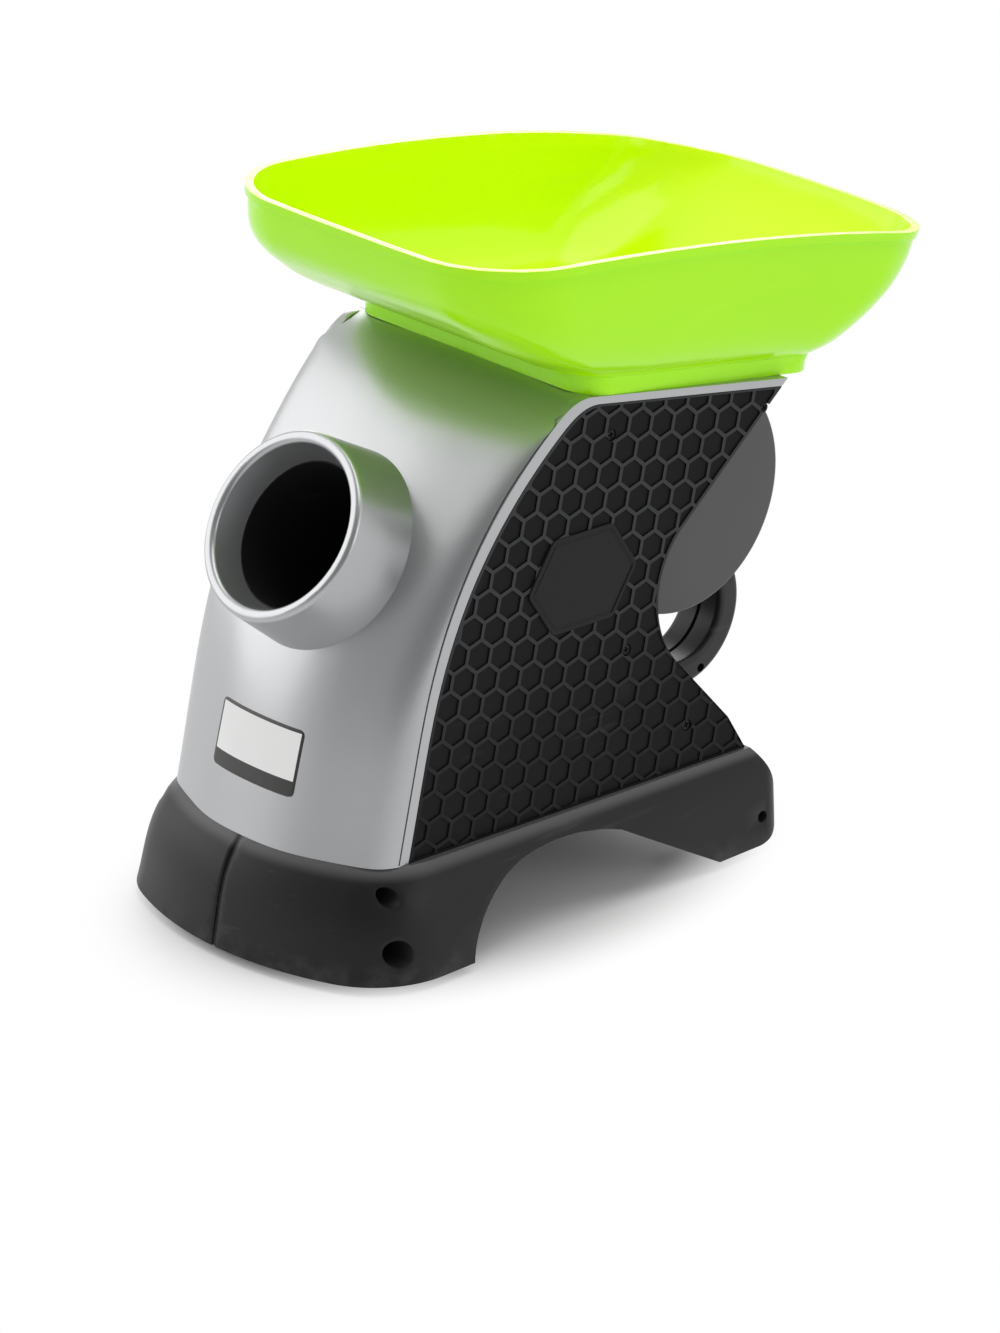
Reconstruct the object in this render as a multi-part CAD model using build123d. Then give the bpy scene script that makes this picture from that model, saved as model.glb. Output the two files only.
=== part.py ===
from build123d import *
from math import atan2, cos, degrees, hypot, pi, radians, sin, tan
import os

# Ball launcher: a leaning body on an arched base, with a ball tray on top, a muzzle
# in front and a feed drum behind. X is across, -Y is the muzzle end, Z is up.
# The origin is on the floor under the middle of the whole part.
# Places along the part are measured back from the front of the bumper.

# Overall sizes
BASE_LENGTH = 304.8
OVERALL_HEIGHT = 363.5
OVERALL_WIDTH = 222.25
HOPPER_OVERHANG = 120.0
OVERALL_LENGTH = BASE_LENGTH + HOPPER_OVERHANG

# Ball and shared clearances
BALL_RADIUS = 33.5
FIT_GAP = 0.3
RUN_GAP = 0.05
OVERRUN = 6.0
FAR = 2 * OVERALL_LENGTH

# Base: plan outlines at four levels, from the floor edge to the shoulder
FOOT_HEIGHT = 5.0
BASE_TOP = 60.0
BASE_HEIGHT = BASE_TOP - FOOT_HEIGHT
BASE_FRONT_HALF_WIDTH = 105.0
BASE_REAR_HALF_WIDTH = 100.0
BUMPER_LEAN = 19.5
BUMPER_BOW = 31.0
BUMPER_CORNER = 50.0
SIDE_LEAN_FRONT = 19.0
SIDE_LEAN_REAR = 4.5
BASE_REAR_CORNER = 12.0
BASE_WALL = 3.5
SEAM_HALF_WIDTH = 1.3
SEAM_DEPTH = 0.9
BASE_LEVEL_SHARES = (0.0, 0.49, 0.82, 1.0)
BASE_LEAN_SHARES = (0.0, 0.27, 0.62, 1.0)
HEEL_LENGTH = 20.8
HEEL_UNDERCUT = 17.0
HEEL_BULGE_SHARE = 0.38
HEEL_ROUND_SHARES = (0.28, 0.11)
HEEL_SLOPE_SHARES = (0.42, 0.73)
ARCH_START = 83.5
ARCH_LENGTH = 174.0
ARCH_RISE = 45.0
ARCH_FRONT_SHARES = ((0.085, 0.62), (0.25, 0.955))
ARCH_TOP_SHARES = ((0.37, 1.0), (0.615, 0.845))
REAR_ARCH_HALF_WIDTH = 58.0
REAR_ARCH_RISE = 34.0

# Holes in the base and the feet under it
BUMPER_UPPER_HOLE = 4.7
BUMPER_LOWER_HOLE = 7.0
HEEL_HOLE = 3.2
BASE_HOLE_DEPTH = 12.0
BUMPER_UPPER_SHARES = (0.136, 0.78)
BUMPER_LOWER_SHARES = (0.13, 0.29)
HEEL_HOLE_SHARES = (0.949, 0.285)
FOOT_RADIUS = 9.0
FOOT_SINK = 2.0
FOOT_BOSS_WALL = 2.0
FRONT_FOOT_AT = 47.0
FRONT_FOOT_SIDE = 72.0
REAR_FOOT_AT = 276.0
REAR_FOOT_SIDE = 84.0

# Body sides: a silver frame with a black panel let into it
BODY_FRONT = 52.6
BODY_LENGTH = 260.9
BODY_HEIGHT = 218.6
FRONT_HALF_WIDTH = 82.4
REAR_HALF_WIDTH = 94.0
SEAT_TILT = 9.4
FRAME_THICKNESS = 5.5
FRAME_RIM_BACK = 4.6
FRAME_RIM_DOWN = 4.9
FRONT_EDGE_SHARES = ((0.0, 0.0), (0.036, 0.195), (0.0843, 0.425), (0.1832, 0.684),
                     (0.282, 0.8385), (0.381, 0.9515))
TOP_FRONT_SHARE = 0.4806
TOP_REAR_SHARE = 0.98
NOTCH_SHARES = ((0.7041, 0.6043), (0.6493, 0.4245), (0.6949, 0.2841))
SLOPE_END_SHARES = (0.8352, 0.0929)
HEEL_END_SHARE = 0.8812

# Side panel with its honeycomb
PANEL_THICKNESS = 2.5
HEX_PITCH = 15.0
HEX_RIB = 2.0
HEX_RELIEF = 0.8
HEX_TURN = 12.0
PANEL_EDGE = 1.2
PANEL_HOLE = 3.2
PANEL_SCREW_SHARES = ((0.5285, 0.8934), (0.9214, 0.843), (0.5707, 0.3486), (0.7282, 0.1066))
SCREW_HEAD_HEIGHT = 1.6

# Front shell: the side profile, bowed forward in the middle
NOSE_BOW = 32.7
SHELL_WALL = 3.0
SHELL_GAP = 0.7
NOSE_BACK = 138.0
BOW_HEIGHT_SHARES = (1.0, 0.94, 0.82, 0.58, 0.43, 0.3, 0.18)
BOW_ACROSS_SHARES = ((-1.0, 0.0), (-0.97, 0.2), (-0.8, 0.52), (-0.44, 0.87), (0.0, 1.0),
                     (0.44, 0.87), (0.8, 0.52), (0.97, 0.2), (1.0, 0.0))

# Muzzle and barrel, on a line that leans back and down into the body
MUZZLE_AT = 48.2
MUZZLE_HEIGHT = 219.9
LAUNCH_ANGLE = 34.0
LIP_RADIUS = 50.0
NOZZLE_FLARE = 9.0
NOZZLE_LENGTH = 95.0
LIP_ROUND = 2.8
BARREL_RADIUS = 38.5
BARREL_WALL = 3.5
THROAT_DEPTH = 17.0
THROAT_STEP = 0.8
MOUTH_RADIUS = 44.0

# Hopper
HOPPER_WALL = 2.4
COLLAR_HEIGHT = 9.0
COLLAR_FRONT = 173.0
COLLAR_REAR = 336.0
COLLAR_HALF_WIDTH = 88.0
COLLAR_CORNER = 18.0
TRAY_HEIGHT = 88.0
RIM_FRONT = 93.5
RIM_CORNER = 50.0
RIM_DROP = 53.5
RIM_CROWN = 10.0
LIP_HEIGHT = 4.6
LIP_PROUD = 1.6
TRAY_LEVEL_SHARES = (0.0, 0.08, 0.21, 0.43, 0.69, 1.0)
TRAY_FRONT_SHARES = (0.0, 0.42, 0.72, 0.915, 0.99, 1.0)
TRAY_SIDE_SHARES = (0.0, 0.44, 0.74, 0.92, 0.985, 1.0)
TRAY_REAR_SHARES = (0.0, 0.13, 0.33, 0.65, 0.94, 1.0)
HOPPER_FLOOR = 3.0
SPOUT_RADIUS = 37.5
SPOUT_WALL = 2.5
SPOUT_AT = 271.5

# Feed drum and handle
DRUM_AT = 280.9
DRUM_HEIGHT = 187.9
DRUM_PLACE = (DRUM_AT, DRUM_HEIGHT)
DRUM_RADIUS = 64.3
DRUM_HALF_WIDTH = 50.0
DRUM_WALL = 3.0
DRUM_ROUND = 1.6
CHUTE_FALL = 25.0
HANDLE_AT = 312.0
HANDLE_HEIGHT = 102.0
HANDLE_BORE = 28.0
HANDLE_THICKNESS = 14.0
HANDLE_HALF_WIDTH = 15.0
HANDLE_ROUND = 3.5
HANDLE_SEAM = 1.2
HANDLE_HOLE = 2.4
HANDLE_HOLE_DEPTH = 5.0
HANDLE_HOLE_ANGLE = -68.0
REAR_WALL = 3.0

# Feed rotor and its drive
ROTOR_GAP = 3.3
ROTOR_HALF_WIDTH = 36.0
POCKET_RADIUS = 35.0
POCKET_SEAT = 24.0
TRUNNION_RADIUS = 4.0
BUSH_WALL = 2.0
BOSS_WALL = 3.0
BOSS_LENGTH = 5.0
GEAR_MODULE = 2.2
GEAR_TEETH = 52
PINION_TEETH = 12
GEAR_WIDTH = 5.0
TOOTH_BACKLASH = 0.5
TOOTH_RISE_SHARE = 0.9
TOOTH_DEPTH_SHARE = 1.2
PRESSURE_ANGLE = 20.0
PINION_ANGLE = 150.0
FEED_MOTOR_RADIUS = 12.0
FEED_MOTOR_LENGTH = 29.0
FEED_SHAFT_RADIUS = 1.5
FEED_BRACKET_RADIUS = 18.0
FEED_BRACKET_THICKNESS = 3.0

# Launch wheels
WHEEL_RADIUS = 24.0
WHEEL_WIDTH = 20.0
HUB_RADIUS = 16.5
BALL_SQUEEZE = 3.0
WHEEL_STATION = 120.0
SLOT_GAP = 1.4
SHELF_THICKNESS = 3.0
SHELF_HALF_LENGTH = 17.0
SHELF_GAP = 2.0
WHEEL_SHAFT_RADIUS = 2.0
WHEEL_MOTOR_RADIUS = 13.8
WHEEL_MOTOR_LENGTH = 32.0

# Batteries in the base
CELL_RADIUS = 13.1
CELL_LENGTH = 50.0
CELL_NUB_RADIUS = 4.0
CELL_NUB_HEIGHT = 1.0
CELL_ROWS = 3
BATTERY_AT = 158.0
BATTERY_WALL = 2.0
DOOR_THICKNESS = 2.5
CONTACT_RADIUS = 5.0
CONTACT_THICKNESS = 0.8

# Controls on the sloping back wall
BUTTON_RADIUS = 7.0
BUTTON_RISE = 3.0
BUTTON_TRAVEL = 1.5
BUTTON_FLANGE = 1.5
BUTTON_FLANGE_THICKNESS = 1.5
BUTTON_ROUND = 1.0
CONTROL_SIDE = 68.0
POWER_SHARE = 0.3
DISTANCE_SHARE = 0.72
JACK_SHARE = 0.5
JACK_RADIUS = 5.5
JACK_BORE = 2.8
JACK_PIN = 1.0
JACK_LENGTH = 12.0
JACK_FLANGE = 2.0
JACK_FLANGE_THICKNESS = 1.2
BOARD_THICKNESS = 1.6
BOARD_LENGTH = 46.0
BOARD_WIDTH = 24.0
SWITCH_SIZE = 6.0
POST_RADIUS = 2.5


# A place along the part, measured back from the front of the bumper
def fore(distance):
    return distance - OVERALL_LENGTH / 2


# Half width of the body, which narrows evenly towards the front
def half_width(distance):
    widening = REAR_HALF_WIDTH - FRONT_HALF_WIDTH
    return FRONT_HALF_WIDTH + widening * (distance - BODY_FRONT) / BODY_LENGTH


# Height of the sloping plane on which the hopper sits
def seat_height(distance):
    top_front = BODY_FRONT + TOP_FRONT_SHARE * BODY_LENGTH
    return BASE_TOP + BODY_HEIGHT - (distance - top_front) * tan(radians(SEAT_TILT))


# A point of the body's side outline, as distance and height
def body_place(along_share, up_share):
    return BODY_FRONT + along_share * BODY_LENGTH, BASE_TOP + up_share * BODY_HEIGHT


# A point in the middle plane
def side_point(distance, height):
    return (0, fore(distance), height)


# A side outline, pushed out across the whole part
def across(edges, reach=FAR):
    return extrude(Face(Wire(edges)), amount=reach, dir=(1, 0, 0), both=True)


def joined_lines(points):
    return [Line(points[i - 1], points[i]) for i in range(len(points))]


# A plan outline given as (x, distance) corners, pushed up through the whole part
def upright(corners):
    points = [(x, fore(distance), -FAR) for x, distance in corners]
    return extrude(Face(Wire(joined_lines(points))), amount=2 * FAR, dir=(0, 0, 1))


def mirrored(shape):
    return mirror(shape, about=Plane.YZ)


def one_half(shape, side):
    return shape & Pos(side * FAR / 2, 0, 0) * Box(FAR, FAR, FAR)


# A round bar along X, centred on x
def bar_across(radius, length, x, distance, height):
    return Pos(x, fore(distance), height) * Rot(0, 90, 0) * Cylinder(radius, length)


# A piece that runs from one x to another
def bar_between(radius, x_from, x_to, distance, height):
    return bar_across(radius, abs(x_to - x_from), (x_from + x_to) / 2, distance, height)


# A round upright bar between two heights
def upright_bar(radius, low, high, distance):
    return Pos(0, fore(distance), (low + high) / 2) * Cylinder(radius, high - low)


# Side wall strip between two depths under the tapered body side
def side_strip(depth_out, depth_in):
    front = BODY_FRONT - BASE_LENGTH
    rear = BODY_FRONT + BASE_LENGTH
    outer = [(half_width(d) - depth_out, d) for d in (front, rear)]
    inner = [(half_width(d) - depth_in, d) for d in (rear, front)]
    return upright(outer + inner)


# Room between the two side frames
def between_frames(gap):
    front = BODY_FRONT - BASE_LENGTH
    rear = BODY_FRONT + BASE_LENGTH
    depth = FRAME_THICKNESS + gap
    right = [(half_width(d) - depth, d) for d in (front, rear)]
    left = [(depth - half_width(d), d) for d in (rear, front)]
    return upright(right + left)


# The body's side outline: leaning front, sloping top, S-shaped back
def body_outline(back=0, down=0):
    def at(place):
        return side_point(place[0] + back, place[1] - down)
    top_front = BODY_FRONT + TOP_FRONT_SHARE * BODY_LENGTH
    rear = BODY_FRONT + TOP_REAR_SHARE * BODY_LENGTH
    front_edge = [at(body_place(*shares)) for shares in FRONT_EDGE_SHARES]
    top_front_point = at((top_front, seat_height(top_front)))
    rear_top = at((rear, seat_height(rear)))
    notch = [at(body_place(*shares)) for shares in NOTCH_SHARES]
    slope_end = at(body_place(*SLOPE_END_SHARES))
    heel_end = at(body_place(HEEL_END_SHARE, 0))
    seat_run = (0, cos(radians(SEAT_TILT)), -sin(radians(SEAT_TILT)))
    start_run = (0, front_edge[1][1] - front_edge[0][1], front_edge[1][2] - front_edge[0][2])
    return [
        Spline(*front_edge, top_front_point, tangents=(start_run, seat_run)),
        Line(top_front_point, rear_top),
        Line(rear_top, notch[0]),
        ThreePointArc(*notch),
        Line(notch[2], slope_end),
        Line(slope_end, heel_end),
        Line(heel_end, front_edge[0]),
    ]


# The panel's outline is the body's, less a rim at the front and the top
def panel_block(gap):
    moved = body_outline(FRAME_RIM_BACK + gap, FRAME_RIM_DOWN + gap)
    return across(body_outline()) & across(moved)


# Frame of the leaning launch line: x across, y up out of the line, z out of the muzzle
def launch_plane(station):
    lean = radians(LAUNCH_ANGLE)
    at = (0, fore(MUZZLE_AT + station * cos(lean)), MUZZLE_HEIGHT - station * sin(lean))
    return Plane(origin=at, x_dir=(-1, 0, 0), z_dir=(0, -cos(lean), sin(lean)))


# A round bar on the launch line between two stations behind the lip
def launch_bar(radius, start, end):
    return launch_plane(end) * Cylinder(radius, end - start, align=(Align.CENTER, Align.CENTER, Align.MIN))


# Where the line of the chute meets the line of the barrel, measured from the lip
def bend_station():
    lean = radians(LAUNCH_ANGLE)
    fall = radians(CHUTE_FALL)
    along = DRUM_AT - MUZZLE_AT
    drop = MUZZLE_HEIGHT - DRUM_HEIGHT
    return (along * sin(fall) + drop * cos(fall)) / sin(lean + fall)


# Everything behind (1) or ahead of (-1) the mitre where the chute meets the barrel
def beyond_bend(side):
    turn = radians(CHUTE_FALL - LAUNCH_ANGLE) / 2
    at = launch_plane(bend_station()).origin
    mitre = Plane(origin=at, x_dir=(1, 0, 0), z_dir=(0, cos(turn), sin(turn)))
    return mitre * Pos(0, 0, side * (FAR - FIT_GAP) / 2) * Box(FAR, FAR, FAR)


# A direction in the side view, as an angle up from straight back
def side_direction(angle):
    return (0, cos(radians(angle)), sin(radians(angle)))


def drum_plane(angle):
    return Plane(origin=side_point(*DRUM_PLACE), x_dir=(1, 0, 0), z_dir=side_direction(angle))


# One plan outline of the base at a share of its height
def base_section(level_share, lean_share, inset):
    height = FOOT_HEIGHT + level_share * BASE_HEIGHT
    front = lean_share * BUMPER_LEAN + inset
    half_front = BASE_FRONT_HALF_WIDTH - lean_share * SIDE_LEAN_FRONT - inset
    half_rear = BASE_REAR_HALF_WIDTH - lean_share * SIDE_LEAN_REAR - inset
    rear = BASE_LENGTH - inset
    corner = BUMPER_CORNER - lean_share * SIDE_LEAN_FRONT / 2 - inset
    front_right = (half_front, fore(front + BUMPER_BOW), height)
    front_left = (-half_front, fore(front + BUMPER_BOW), height)
    rear_right = (half_rear, fore(rear), height)
    rear_left = (-half_rear, fore(rear), height)
    outline = Wire([
        Line(rear_left, rear_right),
        Line(rear_right, front_right),
        ThreePointArc(front_right, (0, fore(front), height), front_left),
        Line(front_left, rear_left),
    ])
    corners = outline.vertices().sort_by(Axis.Y)
    rounded = outline.fillet_2d(corner, corners[:2])
    return rounded.fillet_2d(BASE_REAR_CORNER, rounded.vertices().sort_by(Axis.Y)[-2:])


def base_loft(inset):
    levels = zip(BASE_LEVEL_SHARES, BASE_LEAN_SHARES)
    return Solid.make_loft([base_section(level, lean, inset) for level, lean in levels])


def base_place(along_share, up_share):
    return BASE_LENGTH * along_share, FOOT_HEIGHT + up_share * BASE_HEIGHT


# Side outline of the base, with the rounded heel behind
def base_side_block():
    heel_top = BASE_LENGTH - HEEL_LENGTH
    bulge = (BASE_LENGTH, FOOT_HEIGHT + HEEL_BULGE_SHARE * BASE_HEIGHT)
    toe = (BASE_LENGTH - HEEL_UNDERCUT, FOOT_HEIGHT)
    round_along, round_up = HEEL_ROUND_SHARES
    slope_along, slope_up = HEEL_SLOPE_SHARES
    heel_round = (BASE_LENGTH - round_along * HEEL_UNDERCUT, FOOT_HEIGHT + round_up * BASE_HEIGHT)
    heel_slope = (BASE_LENGTH - slope_along * HEEL_LENGTH, FOOT_HEIGHT + slope_up * BASE_HEIGHT)
    edges = [
        Line(side_point(-OVERRUN, FOOT_HEIGHT), side_point(*toe)),
        ThreePointArc(side_point(*toe), side_point(*heel_round), side_point(*bulge)),
        ThreePointArc(side_point(*bulge), side_point(*heel_slope), side_point(heel_top, BASE_TOP)),
        Line(side_point(heel_top, BASE_TOP), side_point(-OVERRUN, BASE_TOP)),
        Line(side_point(-OVERRUN, BASE_TOP), side_point(-OVERRUN, FOOT_HEIGHT)),
    ]
    return across(edges)


# The arch under each side, as a block to cut away; grow thickens it all round
def arch_block(grow):
    def at(shares):
        return side_point(ARCH_START + shares[0] * ARCH_LENGTH, FOOT_HEIGHT + shares[1] * ARCH_RISE)
    start = at((0, 0))
    rise, shoulder = [at(shares) for shares in ARCH_FRONT_SHARES]
    crown, fall = [at(shares) for shares in ARCH_TOP_SHARES]
    end = at((1, 0))
    drop = (0, 0, -OVERRUN)
    below_start = tuple(a + b for a, b in zip(start, drop))
    below_end = tuple(a + b for a, b in zip(end, drop))
    face = Face(Wire([
        ThreePointArc(start, rise, shoulder),
        ThreePointArc(shoulder, crown, fall),
        Line(fall, end),
        Line(end, below_end),
        Line(below_end, below_start),
        Line(below_start, start),
    ]))
    if grow:
        face = offset(face, amount=grow, kind=Kind.INTERSECTION).face()
    return extrude(face, amount=FAR, dir=(1, 0, 0), both=True)


# Opening between the two rear feet; grow thickens it all round
def rear_arch(grow):
    outline = Rectangle(2 * (REAR_ARCH_HALF_WIDTH + grow), 2 * (REAR_ARCH_RISE + grow))
    outline = fillet(outline.vertices(), REAR_ARCH_RISE * 2 / 3)
    plane = Plane(origin=(0, fore(BASE_LENGTH + OVERRUN), FOOT_HEIGHT), x_dir=(1, 0, 0), z_dir=(0, -1, 0))
    reach = BASE_LENGTH - ARCH_START - ARCH_LENGTH + HEEL_LENGTH + 2 * OVERRUN
    return extrude(plane * outline, amount=reach)


BATTERY_LENGTH = CELL_ROWS * 2 * CELL_RADIUS + 2 * BATTERY_WALL + (CELL_ROWS + 1) * FIT_GAP
BATTERY_HALF_WIDTH = CELL_LENGTH + CELL_NUB_HEIGHT + CONTACT_THICKNESS + BATTERY_WALL + FIT_GAP
ARCH_CROWN_HEIGHT = FOOT_HEIGHT + ARCH_RISE
CELL_HEIGHT = ARCH_CROWN_HEIGHT + DOOR_THICKNESS + CELL_RADIUS + 2 * FIT_GAP
BATTERY_TOP = CELL_HEIGHT + CELL_RADIUS + FIT_GAP + BATTERY_WALL


# Plan block of the battery well
def battery_block(grow, bottom, top):
    size = (2 * (BATTERY_HALF_WIDTH + grow), BATTERY_LENGTH + 2 * grow, top - bottom)
    return Pos(0, fore(BATTERY_AT), (top + bottom) / 2) * Box(*size)


def foot_places():
    return [(side * x, d) for x, d in ((FRONT_FOOT_SIDE, FRONT_FOOT_AT), (REAR_FOOT_SIDE, REAR_FOOT_AT))
            for side in (-1, 1)]


# Recesses for the base screws on one side: radius, distance and height
def base_holes():
    return [
        (BUMPER_UPPER_HOLE, *base_place(*BUMPER_UPPER_SHARES)),
        (BUMPER_LOWER_HOLE, *base_place(*BUMPER_LOWER_SHARES)),
        (HEEL_HOLE, *base_place(*HEEL_HOLE_SHARES)),
    ]


# How far out the floor of such a recess lies
def base_hole_floor(distance):
    surface = BASE_REAR_HALF_WIDTH if distance > BASE_LENGTH / 2 else half_width(distance)
    return surface - BASE_HOLE_DEPTH


# Shallow groove down the bumper, where the two halves meet
def seam_groove(outer):
    skin = outer - Pos(0, SEAM_DEPTH, 0) * outer
    size = (2 * SEAM_HALF_WIDTH, 2 * (BUMPER_LEAN + BUMPER_BOW), 2 * BASE_TOP)
    return skin & Pos(0, fore(0), 0) * Box(*size)


# Base half: a skin with a closed top, open below, arched along the side
def make_base_half(side):
    outer = base_loft(0) & base_side_block()
    arch = arch_block(0)
    hollow = base_loft(BASE_WALL) & Pos(0, 0, -BASE_WALL) * base_side_block()
    hollow = (hollow & Pos(0, -BASE_WALL, 0) * base_side_block()) - arch_block(BASE_WALL)
    hollow = hollow - rear_arch(BASE_WALL)
    base = outer - hollow
    for x, distance in foot_places():
        boss = Pos(x, fore(distance), BASE_TOP / 2) * Cylinder(FOOT_RADIUS + FOOT_BOSS_WALL, BASE_TOP)
        base = base + (boss & outer)
        socket = Cylinder(FOOT_RADIUS + FIT_GAP, 2 * FOOT_HEIGHT + FOOT_SINK)
        base = base - Pos(x, fore(distance), FOOT_SINK / 2) * socket
    for radius, distance, height in base_holes():
        floor = base_hole_floor(distance)
        well = bar_between(radius + BASE_WALL, side * (floor - BASE_WALL), side * FAR, distance, height)
        base = base + (well & outer)
        base = base - bar_between(radius, side * floor, side * FAR, distance, height)
    base = base - arch - rear_arch(0) - seam_groove(outer)
    base = base - battery_block(FIT_GAP, 0, BASE_TOP + OVERRUN)
    return one_half(base, side)


def make_rubber_feet():
    height = FOOT_HEIGHT + FOOT_SINK
    foot = Cylinder(FOOT_RADIUS, height)
    return [Pos(x, fore(distance), height / 2) * foot for x, distance in foot_places()]


def make_base_screws():
    screws = []
    for side in (-1, 1):
        for radius, distance, height in base_holes():
            floor = side * base_hole_floor(distance)
            top = floor + side * SCREW_HEAD_HEIGHT
            screws.append(bar_between(radius - FIT_GAP, floor, top, distance, height))
    return screws


# Side frame: the wall behind the panel, with a rim round its front and top
def make_side_frame():
    frame = across(body_outline()) & side_strip(0, FRAME_THICKNESS)
    return frame - (panel_block(0) & side_strip(-OVERRUN, PANEL_THICKNESS))


# Plane of the cells' floors on the right panel: x runs back, y runs up
def panel_plane():
    taper = atan2(REAR_HALF_WIDTH - FRONT_HALF_WIDTH, BODY_LENGTH)
    at = (half_width(BODY_FRONT) - HEX_RELIEF, fore(BODY_FRONT), BASE_TOP)
    return Plane(origin=at, x_dir=(sin(taper), cos(taper), 0), z_dir=(cos(taper), -sin(taper), 0))


# Floors of the honeycomb's cells: hexagons in rows that fall to the rear, cut off at the field's edge
def hex_cells(field, plane):
    cell = RegularPolygon((HEX_PITCH - HEX_RIB) / 2, 6, major_radius=False, rotation=30)
    row_pitch = HEX_PITCH * cos(pi / 6)
    rows = int(BODY_HEIGHT / HEX_PITCH)
    columns = int(BODY_LENGTH / HEX_PITCH)
    middle = Location((BODY_LENGTH / 2, BODY_HEIGHT / 2, 0), (0, 0, -HEX_TURN))
    cells = []
    for j in range(-rows, rows + 1):
        for i in range(-columns, columns + 1):
            at = middle * Pos(HEX_PITCH * (i + (j % 2) / 2), row_pitch * j)
            away = (abs(at.position.X - BODY_LENGTH / 2), abs(at.position.Y - BODY_HEIGHT / 2))
            if away[0] > BODY_LENGTH / 2 + HEX_PITCH or away[1] > BODY_HEIGHT / 2 + HEX_PITCH:
                continue
            piece = (plane * at * cell).face() & field
            cells = cells + (piece.faces() if piece else [])
    return cells


# Panel: a plate with honeycomb cells sunk into it, and its screw holes
def make_side_panel():
    plate = panel_block(FIT_GAP) & side_strip(0, PANEL_THICKNESS)
    plane = panel_plane()
    field = Pos(0, -PANEL_EDGE, PANEL_EDGE) * panel_block(FIT_GAP) & panel_block(FIT_GAP + PANEL_EDGE)
    field = field & side_strip(0, HEX_RELIEF)
    floor = field.faces().sort_by(Axis(plane.origin, plane.z_dir))[0]
    cells = hex_cells(floor, plane)
    panel = plate - [extrude(cell, amount=PANEL_THICKNESS, dir=plane.z_dir) for cell in cells]
    for shares in PANEL_SCREW_SHARES:
        distance, height = body_place(*shares)
        panel = panel - bar_between(PANEL_HOLE, 0, FAR, distance, height)
    return panel


def make_panel_screws():
    screws = []
    for shares in PANEL_SCREW_SHARES:
        distance, height = body_place(*shares)
        floor = half_width(distance) - PANEL_THICKNESS
        top = floor + SCREW_HEAD_HEIGHT
        screw = bar_between(PANEL_HOLE - FIT_GAP, floor - PANEL_THICKNESS, top, distance, height)
        screw = screw & side_strip(-OVERRUN, PANEL_THICKNESS)
        screws = screws + [screw, mirrored(screw)]
    return screws


# One upright slice of the body's front: the side outline, bowed forward
def nose_section(across_share, bow_share, inset, opened):
    places = [body_place(*shares) for shares in FRONT_EDGE_SHARES]
    top_front = BODY_FRONT + TOP_FRONT_SHARE * BODY_LENGTH
    places.append((top_front, seat_height(top_front)))
    bowed = []
    for (distance, height), bow_up_share in zip(places, BOW_HEIGHT_SHARES):
        bowed.append((distance - NOSE_BOW * bow_share * bow_up_share, height))
    bowed[-1] = (bowed[-1][0], seat_height(bowed[-1][0]))
    run = []
    for i, (distance, height) in enumerate(bowed):
        before = bowed[max(i - 1, 0)]
        after = bowed[min(i + 1, len(bowed) - 1)]
        length = hypot(after[0] - before[0], after[1] - before[1])
        back = (after[1] - before[1]) / length
        down = (after[0] - before[0]) / length
        run.append((distance + inset * back, height - inset * down))
    rear = BODY_FRONT + NOSE_BACK + opened
    first = (run[0][0], run[0][1] - opened)
    last = (run[-1][0] + opened, seat_height(run[-1][0] + opened) - inset + opened)
    corners = [last, (rear, seat_height(rear) + opened), (rear, BASE_TOP - opened), first]

    def at(place):
        return (across_share * (half_width(place[0]) - inset), fore(place[0]), place[1])
    curve = Spline(*[at(place) for place in run])
    edges = [curve]
    chain = [run[-1]] + corners + [run[0]] if opened else [run[-1]] + corners[1:3] + [run[0]]
    edges = edges + [Line(at(a), at(b)) for a, b in zip(chain[:-1], chain[1:])]
    return Wire(edges)


def nose_loft(inset, opened):
    return Solid.make_loft([nose_section(x, bow, inset, opened) for x, bow in BOW_ACROSS_SHARES])


# Front shell: a bowed skin between the two side frames, with the muzzle hole
def make_front_shell(nose):
    skin = nose - nose_loft(SHELL_WALL, OVERRUN)
    sides = across(body_outline(-SHELL_GAP, -SHELL_GAP))
    reach = FRAME_THICKNESS + SHELL_GAP
    strip = side_strip(-OVERRUN, reach)
    strips = strip + mirrored(strip)
    skin = skin - (sides & strips) - (across(body_outline()) & strips)
    behind = BODY_FRONT + NOSE_BACK - SHELL_WALL
    skin = skin - Pos(0, fore(behind) + FAR / 2, 0) * Box(FAR, FAR, FAR)
    return skin - launch_bar(BARREL_RADIUS + BARREL_WALL + FIT_GAP, -OVERRUN, bend_station())


# Muzzle ring: turned about the launch line, flared to meet the shell
def make_nozzle(nose):
    bore = BARREL_RADIUS + BARREL_WALL + FIT_GAP
    root = LIP_RADIUS + NOZZLE_FLARE
    throat = BARREL_RADIUS + THROAT_STEP
    inside = ((bore, -NOZZLE_LENGTH), (bore, -THROAT_DEPTH), (throat, -THROAT_DEPTH), (MOUTH_RADIUS, 0))
    profile = Polyline(*inside, (LIP_RADIUS, 0), (root, -NOZZLE_LENGTH), close=True)
    face = Face(Wire(profile.edges()))
    face = face.fillet_2d(LIP_ROUND, face.vertices().sort_by(Axis.Y)[-2:])
    ring = revolve(Plane.XZ * face, Axis.Z)
    return launch_plane(0) * ring - nose


# Places of the launch wheels, one each side of the launch line
def wheel_plane(side):
    frame = launch_plane(WHEEL_STATION)
    offset_across = BALL_RADIUS + WHEEL_RADIUS - BALL_SQUEEZE
    at = frame.origin + Vector(side * offset_across, 0, 0)
    return Plane(origin=at, x_dir=(1, 0, 0), z_dir=frame.y_dir)


# A turned piece on a wheel's axis between two heights along it
def wheel_bar(side, radius, low, high):
    return wheel_plane(side) * Pos(0, 0, (low + high) / 2) * Cylinder(radius, high - low)


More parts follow.
